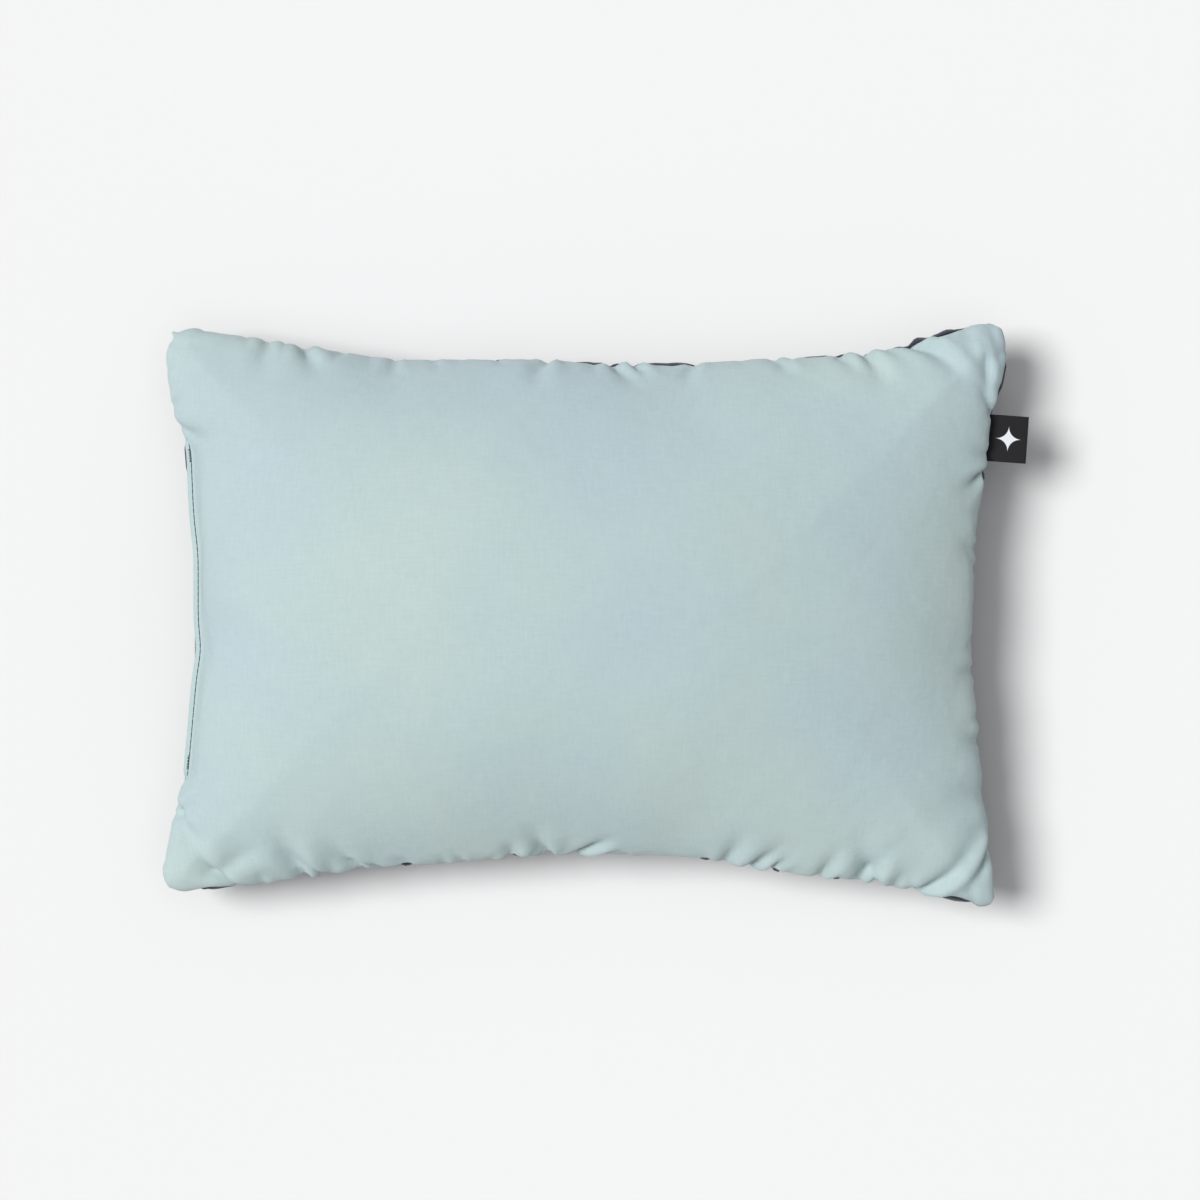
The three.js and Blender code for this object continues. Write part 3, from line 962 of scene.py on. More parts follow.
@dataclass
class Gathering:
    """Draws the shell up along its seam: placed puckers, and small seeded ones between them.

    Attributes:
        placed: Sides, each with the values of its puckers in the order of their fields.
        strength: Factor on every pucker's depth.
        side_wall: Added to every reach, for the part of a fold on the shell's steep side.
        small_spacing: Mean distance between small puckers.
        seed: Seed of the small puckers and of the back panel's share in all of them.
        half_size: Half the length and width that the puckers' places refer to.
    """

    placed: tuple = (
        (Side.FRONT, (
            (-158, 42, 6, 2.4, -35), (-150, 30, 5, 2.2, -50), (-129, 46, 6, 3.0, -8),
            (-118, 30, 4, 2.6, -25), (-102, 34, 4.5, 2.2, -20), (-90, 22, 4, 1.6, -45),
            (-33, 26, 5, 1.8, 0), (-15, 38, 5, 2.6, -12), (-7, 34, 4, 2.6, 32), (66, 38, 5, 1.8, 10),
            (77, 36, 4, 2.0, 22), (88, 30, 4, 1.6, 14), (110, 34, 4, 1.8, 10), (128, 34, 5, 2.2, 16),
            (140, 44, 6, 2.6, -22), (154, 46, 6, 2.6, 40),
        )),
        (Side.BACK, (
            (-148, 30, 5, 1.6, 10), (-132, 34, 5, 1.8, 20), (-88, 24, 4, 1.4, 0),
            (-14, 38, 5, 2.0, -12), (14, 34, 5, 2.2, 14), (24, 26, 4, 1.8, 10), (52, 26, 4, 1.6, -10),
            (88, 24, 4, 1.2, 10), (116, 30, 4, 1.6, 12), (128, 38, 5, 2.4, 6), (148, 44, 6, 2.6, 28),
        )),
        (Side.RIGHT, (
            (90, 26, 4, 1.4, 24), (66, 30, 4, 2.0, -20), (30, 26, 5, 1.2, 0), (-30, 26, 5, 1.2, 0),
            (-62, 26, 5, 1.4, 8), (-100, 34, 5, 2.6, -55), (-84, 44, 9, 1.2, 4),
        )),
        (Side.BACK, (
            (181, 14, 3.5, 1.3, 0, 18), (160, 30, 7, 1.2, 32, 20),
        )),
        (Side.FRONT, (
            (-186, 34, 6, 1.4, 50, 22),
        )),
        (Side.LEFT, (
            (88, 30, 5, 1.8, -20), (-88, 38, 5, 1.8, -32), (-98, 30, 4, 1.4, 20),
        )),
    )  # fmt: skip
    strength: float = 1.4
    side_wall: float = 12.0
    small_spacing: float = 15.0
    seed: int = 11
    half_size: tuple[float, float] = (198.0, 137.0)

    def small(self) -> list[Pucker]:
        """Draws small puckers at random all round, with none at the pocket's mouth.

        Returns:
            The puckers.
        """
        random = np.random.default_rng(self.seed)
        made = []
        for side, half in ((Side.FRONT, 180), (Side.BACK, 180), (Side.RIGHT, 115), (Side.LEFT, 115)):
            place = -half
            while place < half:
                place += self.small_spacing * random.uniform(0.6, 1.4)
                reach, width, depth, lean = random.uniform([10, 2.5, 0.2, -25], [24, 4.5, 0.9, 25])
                if side is not Side.LEFT or abs(place) > 84:
                    made.append(Pucker(side, place, reach, width, depth, lean))
        return made

    def draw_up(self, shell: Shell) -> None:
        """Presses the puckers into both panels.

        Args:
            shell: The shell, which is changed.
        """
        random = np.random.default_rng(self.seed + 1)
        front_sink = np.zeros(shell.flat.shape[:2])
        back_sink = np.zeros_like(front_sink)
        placed = [Pucker(side, *values) for side, rows in self.placed for values in rows]
        for pucker in (*placed, *self.small()):
            front_sink += self.press(shell, pucker)
            reach, lean = random.uniform([0.7, -20], [1.3, 20])
            lean -= pucker.lean * 0.5
            reach *= pucker.reach
            other = replace(pucker, reach=reach, depth=pucker.depth * 0.9, lean=lean, inset=0.0)
            back_sink += self.press(shell, other)
        seam = shell.from_seam() < 1e-6
        seam[[0, -1], :] = seam[:, [0, -1]] = True
        back_sink[seam] = front_sink[seam]
        front_normal = shell.normals(shell.front, 1)
        back_normal = shell.normals(shell.back, -1)
        shared = front_normal + back_normal
        shared /= np.maximum(np.linalg.norm(shared, axis=-1, keepdims=True), 1e-9)
        front_normal[seam] = back_normal[seam] = shared[seam]
        shell.front -= front_normal * front_sink[..., None]
        shell.back -= back_normal * back_sink[..., None]

    def press(self, shell: Shell, pucker: Pucker) -> np.ndarray:
        """Works out how far one pucker sinks each point of a panel's grid.

        Args:
            shell: The shell.
            pucker: The pucker.

        Returns:
            Millimetres for each point, below nought where the cloth bulges beside the valley.
        """
        half = np.abs(shell.flat).max(axis=(0, 1))
        stretch = half / np.array(self.half_size)
        start, inward, along = {
            Side.FRONT: ((pucker.at * stretch[0], -half[1]), (0, 1), (1, 0)),
            Side.BACK: ((pucker.at * stretch[0], half[1]), (0, -1), (1, 0)),
            Side.LEFT: ((-half[0], pucker.at * stretch[1]), (1, 0), (0, 1)),
            Side.RIGHT: ((half[0], pucker.at * stretch[1]), (-1, 0), (0, 1)),
        }[pucker.side]
        lean = math.radians(pucker.lean)
        way = np.array(inward) * math.cos(lean) + np.array(along) * math.sin(lean)
        across = np.array([-way[1], way[0]])
        offset = shell.flat - np.array(start)
        run = offset @ way - pucker.inset
        beside = offset @ across
        reach = pucker.reach + self.side_wall
        part = np.clip(run / reach, 0, 1)
        width = pucker.width * (0.42 + 0.75 * part)
        bright_side = {Side.FRONT: -1, Side.BACK: 1, Side.LEFT: 1, Side.RIGHT: -1}[pucker.side]
        place = bright_side * beside / width
        valley = np.exp(-(place**2) * np.where(place > 0, 1.5, 0.8))
        profile = valley - 0.45 * np.exp(-(((place - 1.9) / 1.2) ** 2))
        profile = profile - 0.15 * np.exp(-(((place + 2.4) / 1.3) ** 2))
        fade = (1 - smooth_step((part - 0.3) / 0.7)) * (0.3 + 0.7 * smooth_step(run / 10.0))
        near = np.exp(-((np.minimum(run, 0) / 4.0) ** 2))
        return self.strength * pucker.depth * profile * fade * near


@dataclass(frozen=True)
class Corners:
    """Rounds the seam's corners in plan: each has the middle and radius of its arc."""

    arcs: tuple = (
        ((-183.4, 119.6), 14.4, 135.0),
        ((188.5, 125.2), 11.3, 45.0),
        ((-188.0, -122.5), 12.5, -135.0),
        ((186.3, -133.5), 8.8, -45.0),
    )

    def turn(self, shell: Shell) -> None:
        """Eases the cloth near each corner onto its arc.

        Args:
            shell: The shell, which is changed.
        """
        edges = [shell.front[0], shell.front[-1], shell.front[:, 0], shell.front[:, -1]]
        seam = np.concatenate(edges)[:, :2]
        for middle, radius, facing in self.arcs:
            way = math.radians(facing)
            angle, reach = self.polar(seam, middle, way)
            near = (np.abs(angle) < 2.0) & (reach < 60)
            order = np.argsort(angle[near])
            angles, reaches = angle[near][order], reach[near][order]
            window = np.ones(5) / 5
            reaches = np.convolve(np.pad(reaches, 2, mode="edge"), window, mode="valid")
            for grid in (shell.front, shell.back):
                angle, reach = self.polar(grid[..., :2], middle, way)
                line = np.interp(angle, angles, reaches)
                straight = smooth_step((np.abs(angle) - math.radians(40)) / math.radians(38))
                goal = radius + (line - radius) * straight
                share = np.clip(reach / line, 0, 1.15) ** 2
                share = np.where(np.abs(angle) < 1.9, share, 0)
                factor = 1 + (goal / line - 1) * share
                grid[..., :2] = np.array(middle) + (grid[..., :2] - np.array(middle)) * factor[..., None]

    def polar(
        self, points: np.ndarray, middle: tuple[float, float], way: float
    ) -> tuple[np.ndarray, np.ndarray]:
        """Angle from a direction, and distance, of points about a middle.

        Args:
            points: Points in plan.
            middle: The middle.
            way: The direction, in radians.

        Returns:
            Angles from -pi to pi, and distances.
        """
        away = points - np.array(middle)
        angle = np.arctan2(away[..., 1], away[..., 0]) - way
        return (angle + math.pi) % (2 * math.pi) - math.pi, np.linalg.norm(away, axis=-1)


@dataclass(frozen=True)
class SeamRoll:
    """Slides the seam over the pillow's edge and sinks it between its panels.

    Where it slides up, the back panel shows from above as a dark line. Elsewhere it slides down.

    Attributes:
        sink: How far the seam sits below the panels' swell.
        groove: Half the width of the groove that this makes.
        under: How far it slides down where it is hidden.
        reach: How far in from the seam the cloth slides with it.
        ease: Length over which it rises and falls again, for each length that shows.
        shown: Stretches where the back panel shows: side, start, end and how far it slides up.
        level: Stretches where it keeps its own height, for the mouth and the label.
    """

    sink: float = 1.4
    groove: float = 3.0
    under: float = 2.4
    reach: float = 16.0
    ease: float = 1.5
    shown: tuple = (
        (Side.BACK, -52, -30, 3.4), (Side.BACK, -14, 22, 4.6), (Side.BACK, 20, 58, 5.0),
        (Side.BACK, 92, 136, 2.9), (Side.BACK, 142, 168, 6.4), (Side.BACK, 156, 182, 4.0),
        (Side.RIGHT, 90, 122, 3.6), (Side.RIGHT, 54, 71, 3.2), (Side.FRONT, -184, -162, 3.8),
        (Side.FRONT, 160, 190, 4.0), (Side.FRONT, 52, 62, 4.0), (Side.FRONT, 87, 94, 4.0),
        (Side.FRONT, 115, 122, 4.4), (Side.FRONT, -36, -28, 3.4), (Side.FRONT, -88, -80, 3.4),
    )  # fmt: skip
    level: tuple = ((Side.LEFT, -92, 92), (Side.RIGHT, 66, 95))

    def slide_at(self, side: Side, along: np.ndarray) -> np.ndarray:
        """Works out how far the seam slides up at each place along a side.

        Args:
            side: The side.
            along: Places along it.

        Returns:
            Millimetres for each place, below nought where it slides down.
        """
        slide = np.full(along.shape, -self.under)
        for where, start, end in self.level:
            if where is side:
                slide += self.span(along, start, end) * self.under
        for where, start, end, up in self.shown:
            if where is side:
                place = np.clip((along - (start + end) / 2) / (self.ease * (end - start)) + 0.5, 0, 1)
                slide += np.sin(math.pi * place) ** 2 * (up - slide)
        return slide

    def span(self, along: np.ndarray, start: float, end: float) -> np.ndarray:
        """1 between two places along a side, and 0 outside them, with soft ends."""
        return smooth_step((along - start) / 5 + 0.5) * smooth_step((end - along) / 5 + 0.5)

    def turn(self, shell: Shell) -> None:
        """Slides the seam of all four sides, then sinks it.

        Args:
            shell: The shell, which is changed.
        """
        for side in Side:
            self.slide(shell, side)
        distance = shell.from_seam()
        sunk = self.sink * np.exp(-((distance / self.groove) ** 2))
        for grid in (shell.front, shell.back):
            grid[..., :2] += self.inward(shell) * sunk[..., None]

    def slide(self, shell: Shell, side: Side) -> None:
        """Slides one side's seam along the surface that both panels form.

        Args:
            shell: The shell, which is changed.
            side: The side.
        """
        views = {
            Side.FRONT: (lambda g: g[::-1], 0),
            Side.BACK: (lambda g: g, 0),
            Side.LEFT: (lambda g: g.transpose(1, 0, 2)[::-1], 1),
            Side.RIGHT: (lambda g: g.transpose(1, 0, 2), 1),
        }
        view, channel = views[side]
        front, back = view(shell.front), view(shell.back)
        flat = view(shell.flat)
        rows = front.shape[0]
        half = rows // 2
        line = np.concatenate([front[half:], back[half:-1][::-1]])
        seam = rows - 1 - half
        centre = flat.shape[1] // 2
        step = float(np.linalg.norm(flat[-1, centre] - flat[-2, centre]))
        number = np.arange(len(line))
        spread = np.exp(-(((number - seam) * step / self.reach) ** 2))
        shift = self.slide_at(side, front[-1, :, channel]) / step
        reach = np.abs(flat[-1, :, channel])
        shift *= smooth_step((reach.max() - reach - 6.0) / 14.0)
        moved = np.empty_like(line)
        for column in range(line.shape[1]):
            place = number - shift[column] * spread
            for k in range(3):
                moved[:, column, k] = np.interp(place, number, line[:, column, k])
        front[half:] = moved[: seam + 1]
        back[half:] = moved[seam:][::-1]

    def inward(self, shell: Shell) -> np.ndarray:
        """Finds the way from the nearest seam towards the inside, in plan.

        Args:
            shell: The shell.

        Returns:
            One unit direction for each point.
        """
        half = np.abs(shell.flat).max(axis=(0, 1))
        gap = np.stack([half[0] - np.abs(shell.flat[..., 0]), half[1] - np.abs(shell.flat[..., 1])], axis=-1)
        pull = np.exp(-gap / 5.0)
        way = -np.sign(shell.flat) * pull
        return way / np.maximum(np.linalg.norm(way, axis=-1, keepdims=True), 1e-9)


@dataclass(frozen=True)
class Mouth:
    """The pocket's mouth: two folded, edge-stitched lips in the left side.

    Attributes:
        half: Half its length.
        blend: How far each end takes to close into the seam.
        gap: From the seam's plane to a lip's underside.
        lip: From the fold to the edge stitching.
        thickness: Thickness of a lip.
        lay_back: How far the cloth behind a lip leans away from it.
        allowance: Seam allowance turned in elsewhere.
        peep: How far the back lip shows beyond the front one near the mouth's upper end.
        peep_at: Where it shows.
    """

    half: float = 75.5
    blend: float = 9.0
    gap: float = 3.8
    lip: float = 2.4
    thickness: float = 1.15
    lay_back: float = 4.5
    allowance: float = 6.0
    peep: float = 1.6
    peep_at: float = 71.0

    def openness(self, along: np.ndarray) -> np.ndarray:
        """1 inside the mouth, 0 beyond its ends."""
        return smooth_step((self.half + self.blend - np.abs(along)) / self.blend)

    def part(self, shell: Shell) -> None:
        """Draws the panels apart to the edge stitching on each lip.

        Args:
            shell: The shell, which is changed.
        """
        distance = shell.from_seam()
        share = self.openness(shell.front[:, 0, 1])[:, None] * (shell.flat[..., 0] < 0)
        held = np.exp(-((distance / 16.0) ** 2))
        lift = np.exp(-((distance / 7.0) ** 2))
        top = self.gap + self.thickness
        for grid, side in ((shell.front, 1), (shell.back, -1)):
            laid = self.lay_back * (1 - np.exp(-distance / 5.0)) * np.exp(-((distance / 34.0) ** 2))
            grid[..., 0] += share * (held * self.lip + laid)
            grid[..., 2] += side * share * lift * top

    def strip(self, share: float) -> np.ndarray:
        """Inward and upward offsets of the cloth that is turned in from a panel's edge.

        Args:
            share: 1 at a lip, 0 at a plain seam.

        Returns:
            Six points, for the front panel.
        """
        lip, under = self.lip, -self.thickness
        turn, tail, seam_gap = 0.35, 5.5, 0.25
        folded = np.array([
            [-0.5 * lip, 0.12], [-lip + turn, 0.02], [-lip, 0.5 * under],
            [-lip + turn, under], [0, under], [tail, under],
        ])  # fmt: skip
        turned = np.array([[inside, seam_gap] for inside in (1, 2, 3, 4, 5, self.allowance)])
        return share * folded + (1 - share) * turned


@dataclass
class Panels:
    """Turns a finished shell into the two panels' meshes."""

    shell: Shell
    mouth: Mouth

    def rim(self) -> list[tuple[int, int]]:
        """Goes round the seam, anticlockwise from the front left corner.

        Returns:
            Row and column of each place.
        """
        rows, columns = self.shell.flat.shape[:2]
        around = [(0, i) for i in range(columns - 1)]
        around += [(j, columns - 1) for j in range(rows - 1)]
        around += [(rows - 1, i) for i in range(columns - 1, 0, -1)]
        around += [(j, 0) for j in range(rows - 1, 0, -1)]
        return around

    def rim_inward(self, grid: np.ndarray) -> np.ndarray:
        """Finds the way into the pillow at each place of the rim, in plan.

        Args:
            grid: A panel's points.

        Returns:
            One unit direction for each place.
        """
        points = np.array([grid[place] for place in self.rim()])[:, :2]
        tangent = np.roll(points, -2, axis=0) - np.roll(points, 2, axis=0)
        tangent /= np.linalg.norm(tangent, axis=-1, keepdims=True)
        return np.stack([-tangent[:, 1], tangent[:, 0]], axis=-1)

    def panel(self, name: str, grid: np.ndarray, side: int, finish: Finish) -> bpy.types.Object:
        """Builds one panel with its turned-in edge.

        Args:
            name: The piece's name.
            grid: The panel's points.
            side: 1 for the front, -1 for the back.
            finish: Its cloth.

        Returns:
            The panel.
        """
        rows, columns = grid.shape[:2]
        numbers = np.arange(rows * columns).reshape(rows, columns)
        rim = self.rim()
        inward = self.rim_inward(grid)
        left = np.array([place[1] == 0 for place in rim])
        edge = np.array([grid[place] for place in rim])
        share = np.where(left, self.mouth.openness(edge[:, 1]), 0.0)
        inward = np.where(share[:, None] > 0.5, [1.0, 0.0], inward)
        strips = np.array([self.mouth.strip(s) for s in share])
        if side < 0:
            peep = np.exp(-(((edge[:, 1] - self.mouth.peep_at) / 8.0) ** 4)) * left
            strips[:, :5, 0] -= (peep * self.mouth.peep)[:, None]
        turned = np.zeros((6, len(rim), 3))
        turned[..., :2] = edge[None, :, :2] + inward[None] * strips[..., 0].T[..., None]
        turned[..., 2] = edge[None, :, 2] + side * strips[..., 1].T
        flat_edge = np.array([self.shell.flat[place] for place in rim])
        flat_turned = flat_edge[None] - inward[None] * (1.0 + np.arange(6)[:, None, None] * 1.3)

        first = rows * columns
        ring = np.array([numbers[place] for place in rim])
        loops = np.vstack([ring, first + np.arange(6 * len(rim)).reshape(6, -1)])
        loops = np.hstack([loops, loops[:, :1]])
        points = np.vstack([grid.reshape(-1, 3), turned.reshape(-1, 3)])
        uv = np.vstack([self.shell.flat.reshape(-1, 2), flat_turned.reshape(-1, 2)]) + UV_SHIFT
        faces = grid_faces(numbers, flip=side < 0) + grid_faces(loops, flip=side > 0)
        return mesh_piece(name, points, faces, finish, uv)

    def build(self) -> list[bpy.types.Object]:
        """Builds, dresses and attaches both panels.

        Returns:
            The front and the back panel.
        """
        front = self.panel("front_panel_cloth", self.shell.front, 1, FRONT_FABRIC)
        back = self.panel("back_panel_cloth", self.shell.back, -1, BACK_FABRIC)
        settle_piece(front, Body.PILLOW, "front_fabric", "front_panel")
        settle_piece(back, Body.PILLOW, "back_fabric", "back_panel")
        return [front, back]


# ---------------------------------------------------------------------------- inside the shell


def slab(name: str, middle: np.ndarray, thickness: float, finish: Finish, uv: np.ndarray) -> bpy.types.Object:
    """Makes a closed sheet of cloth of even thickness about a grid of points.

    Args:
        name: The piece's name.
        middle: The sheet's middle, rows by columns by 3.
        thickness: Its thickness.
        finish: Its cloth.
        uv: Its flat cut, rows by columns by 2.

    Returns:
        The sheet.
    """
    normal = np.cross(np.gradient(middle, axis=1), np.gradient(middle, axis=0))
    normal /= np.maximum(np.linalg.norm(normal, axis=-1, keepdims=True), 1e-9)
    rows, columns = middle.shape[:2]
    top = np.arange(rows * columns).reshape(rows, columns)
    bottom = top + rows * columns
    rim = [*top[0, :-1], *top[:-1, -1], *top[-1, :0:-1], *top[:0:-1, 0]]
    rim = np.array(rim + rim[:1])
    points = np.vstack([(middle + side * normal * thickness / 2).reshape(-1, 3) for side in (1, -1)])
    faces = grid_faces(top, flip=True) + grid_faces(bottom)
    faces += grid_faces(np.stack([rim, rim + rows * columns]))
    both = np.vstack([uv.reshape(-1, 2)] * 2) + UV_SHIFT
    return mesh_piece(name, points, faces, finish, both)


@dataclass(frozen=True)
class Batt:
    """The fibre filling, a soft block that fills the shell and is slit for the pocket.

    Attributes:
        clearance: Gap to the panels in the middle.
        rim_clearance: Further gap near the seam, for the valleys of the puckers.
        margin: Rows of the shell's grid that it leaves free along the seam.
        slit_height: Half the slit's height.
        slit_half: Half its length.
        slit_end: Where it ends inside.
    """

    clearance: float = 1.8
    rim_clearance: float = 4.6
    margin: int = 6
    slit_height: float = 4.4
    slit_half: float = 79.0
    slit_end: float = -25.0

    def build(self, shell: Shell, seam: float) -> bpy.types.Object:
        """Makes the batt just inside both panels.

        Args:
            shell: The finished shell.
            seam: The seam's height.

        Returns:
            The batt.
        """
        m = self.margin
        layers = []
        for grid, side in ((shell.front, 1), (shell.back, -1)):
            depth = self.clearance + self.rim_clearance * np.exp(-((shell.from_seam() / 45) ** 2))
            inside = grid - shell.normals(grid, side) * depth[..., None]
            far = (np.abs(grid[..., 0]) / HALF_LENGTH) ** 10 * (np.abs(grid[..., 1]) / HALF_WIDTH) ** 10
            inside[..., :2] *= (1 - 0.06 * np.clip(far, 0, 1))[..., None]
            layers.append(inside[m:-m:2, m:-m:2])
        rows, columns = layers[0].shape[:2]
        numbers = np.arange(rows * columns).reshape(rows, columns)
        around = [*numbers[0, :-1], *numbers[:-1, -1], *numbers[-1, :0:-1], *numbers[:0:-1, 0]]
        around = np.array(around)
        left = np.zeros(rows * columns, dtype=bool)
        left[numbers[1:-1, 0]] = True
        top, under = (layer.reshape(-1, 3) for layer in layers)
        walls = []
        for share, height in ((0.5, 1), (1, 1), (1, -1), (0.5, -1)):
            ring = (top if height > 0 else under)[around].copy()
            ring[:, :2] *= 1 - 0.022 * share
            slit = left[around] & (np.abs(ring[:, 1]) < self.slit_half)
            ring[:, 0] = np.where(slit & (share == 1), self.slit_end, ring[:, 0])
            level = seam + height * self.slit_height
            ring[:, 2] = ring[:, 2] + (level - ring[:, 2]) * (1.0 if share == 1 else 0.6)
            walls.append(ring)
        points = np.vstack([top, under, *walls])
        start = 2 * rows * columns
        new = start + np.arange(len(walls) * len(around)).reshape(len(walls), -1)
        loops = np.vstack([around, new, around + rows * columns])
        loops = np.hstack([loops, loops[:, :1]])
        faces = grid_faces(numbers) + grid_faces(numbers + rows * columns, flip=True)
        faces += grid_faces(loops, flip=True)
        batt = mesh_piece("fibre_batt", points, faces, FIBRE)
        settle_piece(batt, Body.PILLOW, "filling_fibre", "fibre_filling")
        return batt


@dataclass(frozen=True)
class StowPocket:
    """Flat lining bag behind the mouth, folded over at its far end, with its care label.

    Attributes:
        start: Where it begins, at the mouth.
        end: Its far end.
        half: Half its width.
        flare: Half its height at the mouth.
        flare_length: Length over which it narrows.
        flat_gap: Half the gap between its layers beyond that.
        cloth: Thickness of the lining.
        step: Distance between points.
        seed: Seed of its wrinkles.
    """

    start: float = -178.9
    end: float = -29.2
    half: float = 76.2
    flare: float = 2.35
    flare_length: float = 14.0
    flat_gap: float = 0.75
    cloth: float = 0.3
    step: float = 3.0
    seed: int = 5

    def wrinkle(self, x: np.ndarray, y: np.ndarray) -> np.ndarray:
        """Draws the soft creases of a bag that has been stuffed and shaken out.

        Args:
            x: Places along the bag.
            y: Places across it.

        Returns:
            Heights.
        """
        random = np.random.default_rng(self.seed)
        height = np.zeros_like(x)
        for _ in range(9):
            angle, wave, phase = random.uniform([0, 22, 0], [math.pi, 60, 2 * math.pi])
            height += np.sin((x * math.cos(angle) + y * math.sin(angle)) * 2 * math.pi / wave + phase)
        return 0.12 * height

    def build(self, seam: float) -> list[bpy.types.Object]:
        """Makes the bag and its label.

        Args:
            seam: The seam's height.

        Returns:
            Both pieces.
        """
        depth = self.end - self.start
        run = np.arange(0, depth, self.step)
        across = np.linspace(-self.half, self.half, round(2 * self.half / self.step) + 1)
        x, y = np.meshgrid(self.start + run, across, indexing="ij")
        open_share = 1 - smooth_step((x - self.start) / self.flare_length)
        sides = np.sqrt(np.clip(1 - (np.abs(y) / (self.half + 0.4)) ** 30, 0, 1))
        rise = (self.flat_gap + (self.flare - self.flat_gap) * open_share) * sides
        wave = self.wrinkle(x, y) * (1 - open_share)
        upper = np.stack([x, y, seam + wave + rise], axis=-1)
        lower = np.stack([x, y, seam + wave - rise], axis=-1)[::-1]
        turn = np.linspace(0, math.pi, 7)[1:-1]
        fold = np.stack([upper[-1]] * len(turn))
        fold[..., 0] += (self.flat_gap * np.sin(turn))[:, None]
        fold[..., 2] = seam + wave[-1][None] + np.cos(turn)[:, None] * rise[-1][None]
        middle = np.concatenate([upper, fold, lower])
        lengths = np.concatenate([run, np.full(len(turn), depth), 2 * depth - run[::-1]])
        uv = np.stack(np.broadcast_arrays(lengths[:, None], across[None]), axis=-1)
        bag = slab("stow_pocket_lining", middle, self.cloth, LINING, uv)
        settle_piece(bag, Body.PILLOW, "pocket_fabric", "stow_pocket")
        return [bag, self.care_label(seam)]

    def care_label(self, seam: float) -> bpy.types.Object:
        """Makes the blank ribbon sewn inside the mouth, with a slight curl at its free end.

        Args:
            seam: The seam's height.

        Returns:
            The ribbon.
        """
        low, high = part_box("care_label")
        x, y = np.meshgrid(
            np.linspace(low.x / MM, high.x / MM, 41), np.linspace(low.y / MM, high.y / MM, 26), indexing="ij"
        )
        run = (x - x.min()) / (x.max() - x.min())
        height = seam + 0.18 * np.sin(run * 5.0) + 0.06 * np.sin(y * 0.6)
        middle = np.stack([x, y, height], axis=-1)
        ribbon = slab("care_ribbon", middle, 0.16, SATIN, np.stack([x, y], axis=-1))
        settle_piece(ribbon, Body.PILLOW, "care_label_satin", "care_label")
        return ribbon


# ---------------------------------------------------------------------------- threads


class NodeTree:
    """A Geometry Nodes tree with named inputs, which is run once and baked."""

    def __init__(self, name: str, inputs: dict[str, tuple[str, object]]) -> None:
        """Makes the tree and its sockets.

        Args:
            name: The tree's name.
            inputs: Input name to socket type and value.
        """
        self.tree = bpy.data.node_groups.new(name, "GeometryNodeTree")
        face = self.tree.interface
        face.new_socket("Geometry", in_out="OUTPUT", socket_type="NodeSocketGeometry")
        face.new_socket("Geometry", in_out="INPUT", socket_type="NodeSocketGeometry")
        self.values = {}
        for label, (kind, value) in inputs.items():
            made = face.new_socket(label, in_out="INPUT", socket_type="NodeSocket" + kind)
            self.values[made.identifier] = value
        self.source = add_node(self.tree, "NodeGroupInput")

    def add(self, kind: str, inputs: dict | None = None, **settings: object) -> bpy.types.Node:
        """Adds one node to the tree, as add_node does."""
        return add_node(self.tree, kind, inputs, **settings)

    def end(self, shape: bpy.types.NodeSocket) -> None:
        """Realizes the shape, gives it its material and ends the tree.

        Args:
            shape: The socket that gives the shape.
        """
        real = self.add("GeometryNodeRealizeInstances", {"Geometry": shape})
        cover = {"Geometry": real.outputs[0], "Material": self.source.outputs["Material"]}
        dressed = self.add("GeometryNodeSetMaterial", cover)
        self.add("NodeGroupOutput", {0: dressed.outputs[0]})

    def run(self, name: str, base: bpy.types.ID) -> bpy.types.Object:
        """Runs the tree on a curve or mesh and returns the plain mesh piece.

        Args:
            name: The piece's name.
            base: The curve or mesh data that the tree starts from.

        Returns:
            The piece.
        """
        holder = bpy.data.objects.new(name, base)
        bpy.context.scene.collection.objects.link(holder)
        modifier = holder.modifiers.new(name, "NODES")
        modifier.node_group = self.tree
        for identifier, value in self.values.items():
            modifier[identifier] = value
        return baked(holder)


def line_through(points: np.ndarray, closed: bool = False) -> bpy.types.Curve:
    """Makes a poly curve.

    Args:
        points: Its points, in millimetres.
        closed: True if it comes back to its start.

    Returns:
        The curve's data.
    """
    curve = bpy.data.curves.new("line", "CURVE")
    curve.dimensions = "3D"
    spline = curve.splines.new("POLY")
    spline.points.add(len(points) - 1)
    spline.points.foreach_set("co", np.column_stack([points * MM, np.ones(len(points))]).ravel())
    spline.use_cyclic_u = closed
    return curve


def one_piece(name: str, pieces: Sequence[bpy.types.Object], finish: Finish) -> bpy.types.Object:
    """Joins pieces into one smooth mesh piece with its faces pointing out.

    Args:
        name: The new piece's name.
        pieces: The pieces, which are removed.
        finish: What it wears.

    Returns:
        The new piece.
    """
    whole = bmesh.new()
    for piece in pieces:
        whole.from_mesh(piece.data)
        bpy.data.objects.remove(piece)
    bmesh.ops.recalc_face_normals(whole, faces=whole.faces)
    for face in whole.faces:
        face.smooth = True
        face.material_index = 0
    mesh = bpy.data.meshes.new(name)
    whole.to_mesh(mesh)
    whole.free()
    made = bpy.data.objects.new(name, mesh)
    bpy.context.scene.collection.objects.link(made)
    return finish.wear(made)


